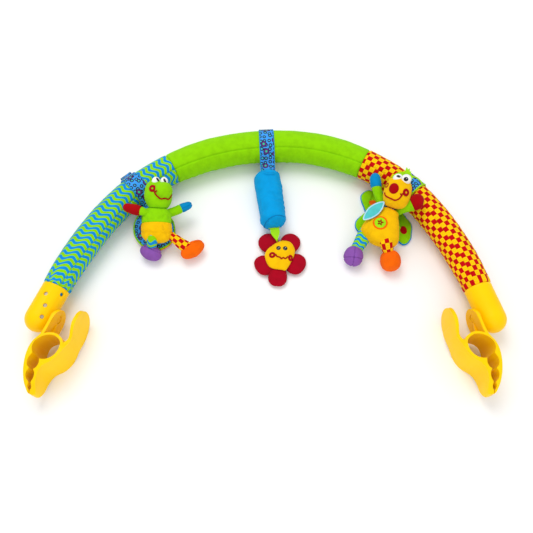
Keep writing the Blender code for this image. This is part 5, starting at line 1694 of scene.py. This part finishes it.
# The pendant: pouch, ribbon and flower
pendant = {
    "foot": (0.00098, 0.14807, 0.0), "length": 0.1, "pouchTop": (0.0, -0.378, 0.172),
    "pouchEnd": (0.090, -1.141, 0.158), "flower": (0.153, -1.494, 0.046), "pouch": 0.0163,
    "pouchRows": (0.84, 1.05, 1.08, 1.08, 1.05, 1.01, 0.98, 0.95, 0.88),
    "hem": [(264.2, 172.6), (266.5, 173.8), (269.5, 174.1), (273.8, 173.6)],
    "endSeam": [
        (264.6, 229.2), (264.3, 226.4), (266.4, 221.8), (270.2, 218.0), (275.0, 215.8), (280.2, 215.3),
        (284.6, 216.8),
    ],
    "face": (
        (272.5, 245.5), (278.5, 241.6), (284.5, 240.6), (291.0, 242.8), (295.0, 250.0), (293.3, 257.5),
        (286.6, 269.6), (281.0, 269.6), (269.5, 266.8), (264.8, 256.4), (267.2, 249.8),
    ),
    "faceLift": 0.0102, "petalLift": 0.0046,
    "petals": (
        (0.026, -1.296, 0.0125, 0.0122), (0.285, -1.296, 0.0125, 0.0121), (0.346, -1.579, 0.0116, 0.0136),
        (0.129, -1.758, 0.0108, 0.0111), (-0.027, -1.594, 0.0112, 0.0132),
    ),
    "eyes": {"left": (278.5, 248.0), "right": (285.2, 248.3)},
    "cheeks": {"left": ((272.3, 255.0), 1.0), "right": ((290.5, 258.0), 0.72)},
    "mouth": [
        (275.9, 254.3), (276.7, 256.2), (278.6, 256.9), (280.2, 257.4), (281.3, 258.8), (283.2, 257.6),
        (285.4, 258.6), (287.8, 256.6),
    ],
}


def makePouch():
    top, end = placed(pendant, "pouchTop"), placed(pendant, "pouchEnd")
    line = (end - top).normalized()
    length = (end - top).length
    rows = [((1 - math.cos(math.pi * i / 8)) / 2, s) for i, s in enumerate(pendant["pouchRows"])]
    path, radii = [], []
    for j in range(1, 90):
        t = (1 - math.cos(math.pi * j / 90)) / 2
        path.append(top + line * length * t)
        radii.append(pendant["pouch"] * eased(rows, t) * rounded(t, 0.10, 0.14) ** 0.8)
    piece = form("chime_pouch_skin", path, radii, depth=1.0, sides=120)
    side, rise = across(line)
    stuffed(piece, voxel=0.0013, reach=0.0010,
            held=sewnAt([(end - line * 0.003, line, 0.003), (top, line, 0.003)]))
    right = top + line * length * 0.55 - side * 0.016
    if (right - top).x < 0:
        right = top + line * length * 0.55 + side * 0.016
    rumpled(piece, amount=0.0007, size=0.014, seed=51.0, folds=(right, line, 0.034, 0.00100, 0.0075))

    def gather(place, normal):  # small folds drawn in by the two ends
        away = min((place - top).dot(line), (end - place).dot(line))
        angle = math.atan2((place - top).dot(side), (place - top).dot(rise))
        if away < 0.0006:
            return Vector()
        return normal * (0.0004 * math.exp(-away / 0.006) * math.sin(11 * angle + 2 * math.sin(4 * angle)))
    moved(piece, gather)
    finished(piece, "sky", "blue_plush", "chime_pouch", ["chime_pouch", "pouch_end"])
    stitched("chime_pouch_end_seam", [piece], pendant["endSeam"], 0.0005, "skyDark", "blue_plush",
             "chime_pouch")
    stitched("chime_pouch_hem", [piece], pendant["hem"], 0.0013, "sky", "blue_plush", "chime_pouch", flat=0.7)
    stitched("chime_pouch_hem_seam", [piece], [(u, v - 1.0) for u, v in pendant["hem"]], 0.0004, "skyDark",
             "blue_plush", "chime_pouch")
    return piece


ribbon = {"half": 0.0054, "long": 1.12, "clear": 0.0007, "thick": 0.0009}


def makeRibbon(pouch):  # a folded ribbon with a pointed end, from the pouch to the flower
    root, tip = spots["ribbon_swing"], spots["flower_swing"]
    along = (tip - root).normalized()
    side, rise = across(along)
    reach = (tip - root).length
    tree = treeOf(pouch)
    points, faces = [], []
    rows, columns = 30, 12
    for layer in (1, -1):
        for i in range(rows):
            t = i / (rows - 1)
            wide = ribbon["half"] if t < 0.50 else ribbon["half"] * max(0.08, 1 - ((t - 0.50) / 0.50) ** 1.15)
            for c in range(columns + 1):
                w = c / columns * 2 - 1
                rest = 0.0012 + 0.0008 * math.sin(t * 2.4) + 0.0005 * math.cos(w * 2.2 + t * 3)
                spot = root + along * (reach * (t * ribbon["long"] - 0.25)) + side * (w * wide) + rise * rest
                hit, facing, _, _ = tree.find_nearest(spot)
                if (spot - hit).dot(facing) < ribbon["clear"]:
                    spot = hit + facing * ribbon["clear"]
                points.append(spot + rise * (layer * ribbon["thick"] / 2))
    count = rows * (columns + 1)
    for a, b, c, d in net(rows, columns)[0]:
        faces += [(a, b, c, d), (count + a, count + d, count + c, count + b)]
    step = columns + 1
    border = [i * step for i in range(rows)] + [(rows - 1) * step + c for c in range(1, step)]
    border += [i * step + columns for i in range(rows - 2, -1, -1)] + list(range(columns - 1, 0, -1))
    for a, b in zip(border, border[1:] + border[:1]):
        faces.append((a, b, count + b, count + a))
    piece = shell("flower_ribbon_cloth", points, faces)
    edited(piece)
    finished(piece, "ribbon", "lime_fabric", "ribbon", ["flower_ribbon"], angle=60)


def makeFlower():
    centre = placed(pendant, "flower")
    outline = []
    for u, v in pendant["face"]:
        eye, way = sightLine(u, v)
        outline.append(eye + way * ((pendant["faceLift"] - eye.z) / way.z))
    loop = smoothLine(outline + outline[:1], 9)[:-1]
    face = pillow("flower_face_pad", loop, high=0.0050, low=0.0042, rings=10)
    rumpled(face, amount=0.0004, size=0.010, seed=71.0, folds=(centre, Vector((1, 0.6, 0)), 0.020, 0.00018))
    for k, (x, y, long, wide) in enumerate(pendant["petals"]):
        heart = placed(pendant, (x, y, 0)) + up * pendant["petalLift"]
        way = Vector((heart.x - centre.x, heart.y - centre.y, 0))
        away = way.length
        way.normalize()
        side = way.cross(up)
        loop = []
        for j in range(72):
            angle = tau * j / 72
            x, y = math.cos(angle), math.sin(angle)
            reach = long if x > 0 else max(long, away - 0.0050)
            narrow = wide * (1 - 0.28 * max(0.0, -x) ** 1.5)
            x, y = (math.copysign(abs(value) ** 0.92, value) for value in (x, y))
            loop.append(heart + way * (reach * x) + side * (narrow * y))
        petal = pillow(f"flower_petal_pad_{k + 1}", loop, high=0.0046, low=0.0042, rings=10)
        rumpled(petal, amount=0.00035, size=0.010, seed=60.0 + k,
                folds=(heart - way * 0.006, side, 0.014, 0.00022))
        if k == 3:
            seamed(petal, heart + side * 0.0006, side, deep=0.0006, wide=0.0008, pucker=0.0001,
                   only=lambda p: (p - heart).dot(way) > -0.003)
        clearOf(petal, [face], gap=0.0002, most=0.005)
        grounded(petal)
        finished(petal, "crimson", "red_plush", "flower", [f"flower_petal_{k + 1}"])
    finished(face, "yellow", "yellow_plush", "flower", ["flower_face"])
    for side, place in pendant["eyes"].items():
        names = f"flower_{side}_eye_patch", f"flower_{side}_eye_glint"
        # the glints are painted highlights: a larger and a smaller pale disc on each eye
        pupilOn(names, face, "flower", place, (0.0027, 0.0028), ((0.5, -0.6, 0.00042), (-0.6, 0.75, 0.00025)))
    for side, (place, squeeze) in pendant["cheeks"].items():
        ringOn(f"flower_{side}_cheek_stitch", face, place, 0.0025, 0.0014, "stitch", "red_plush", "flower",
               squeeze)
    stitched("flower_mouth_stitch", [face], pendant["mouth"], 0.0008, "stitch", "red_plush", "flower")


# Floor and light
def setStage():
    bare()
    bpy.ops.mesh.primitive_plane_add(size=6.0, location=(0, 0, 0))
    floor = bpy.context.object
    floor.name = "floor"
    finish = Finish("floor_paper")
    tone = view["floor"]
    finish.wear(Base_Color=(tone, tone, tone), Roughness=0.9, Specular_IOR_Level=0.0)
    floor.data.materials.append(finish.material)
    world = bpy.data.worlds.new("studio")
    bpy.context.scene.world = world
    world.use_nodes = True
    tree = world.node_tree
    background = tree.nodes["Background"]
    background.inputs["Color"].default_value = (1, 1, 1, 1)
    rays = tree.nodes.new("ShaderNodeLightPath")
    last = None
    for ray, level in (("Is Glossy Ray", view["mirror"]), ("Is Camera Ray", 1.0)):
        strength = tree.nodes.new("ShaderNodeMapRange")
        strength.inputs["To Min"].default_value = view["world"]
        strength.inputs["To Max"].default_value = level
        tree.links.new(rays.outputs[ray], strength.inputs["Value"])
        if last:
            tree.links.new(last, strength.inputs["To Min"])
        last = strength.outputs[0]
    tree.links.new(last, background.inputs["Strength"])
    setLamp("key", (-0.25, 0.55, 1.25), (0, 0, 0), size=0.9, power=view["key"])
    setLamp("fill", (0.1, -1.1, 0.75), (0, -0.05, 0), size=1.4, power=view["fill"])


def makeAll():
    setCamera()
    setStage()
    finishes.update(makeFinishes())
    print("stage and finishes made")
    for node, row in sleeves.items():
        makeSleeve(node, row)
    print("sleeves made")
    for side, sign in (("left", -1), ("right", 1)):
        pivot, inner = makeSocket(side, sign)
        makePin(side, pivot, inner)
        makeClamp(side, sign, pivot, inner)
    print("sockets and clamps made")
    for node, row in straps.items():
        makeStrap(node, row)
    print("straps made")
    makeTurtle()
    print("turtle made")
    makeFlyer()
    print("butterfly made")
    makeRibbon(makePouch())
    makeFlower()
    print("pendant made")
    for node, word in (("core_rod", "core"), ("chime_tube", "metal")):
        frame["nodes"][node].data.materials.clear()
        frame["nodes"][node].data.materials.append(finishes[word])


makeAll()
bpy.context.scene.view_settings.view_transform = 'Standard'
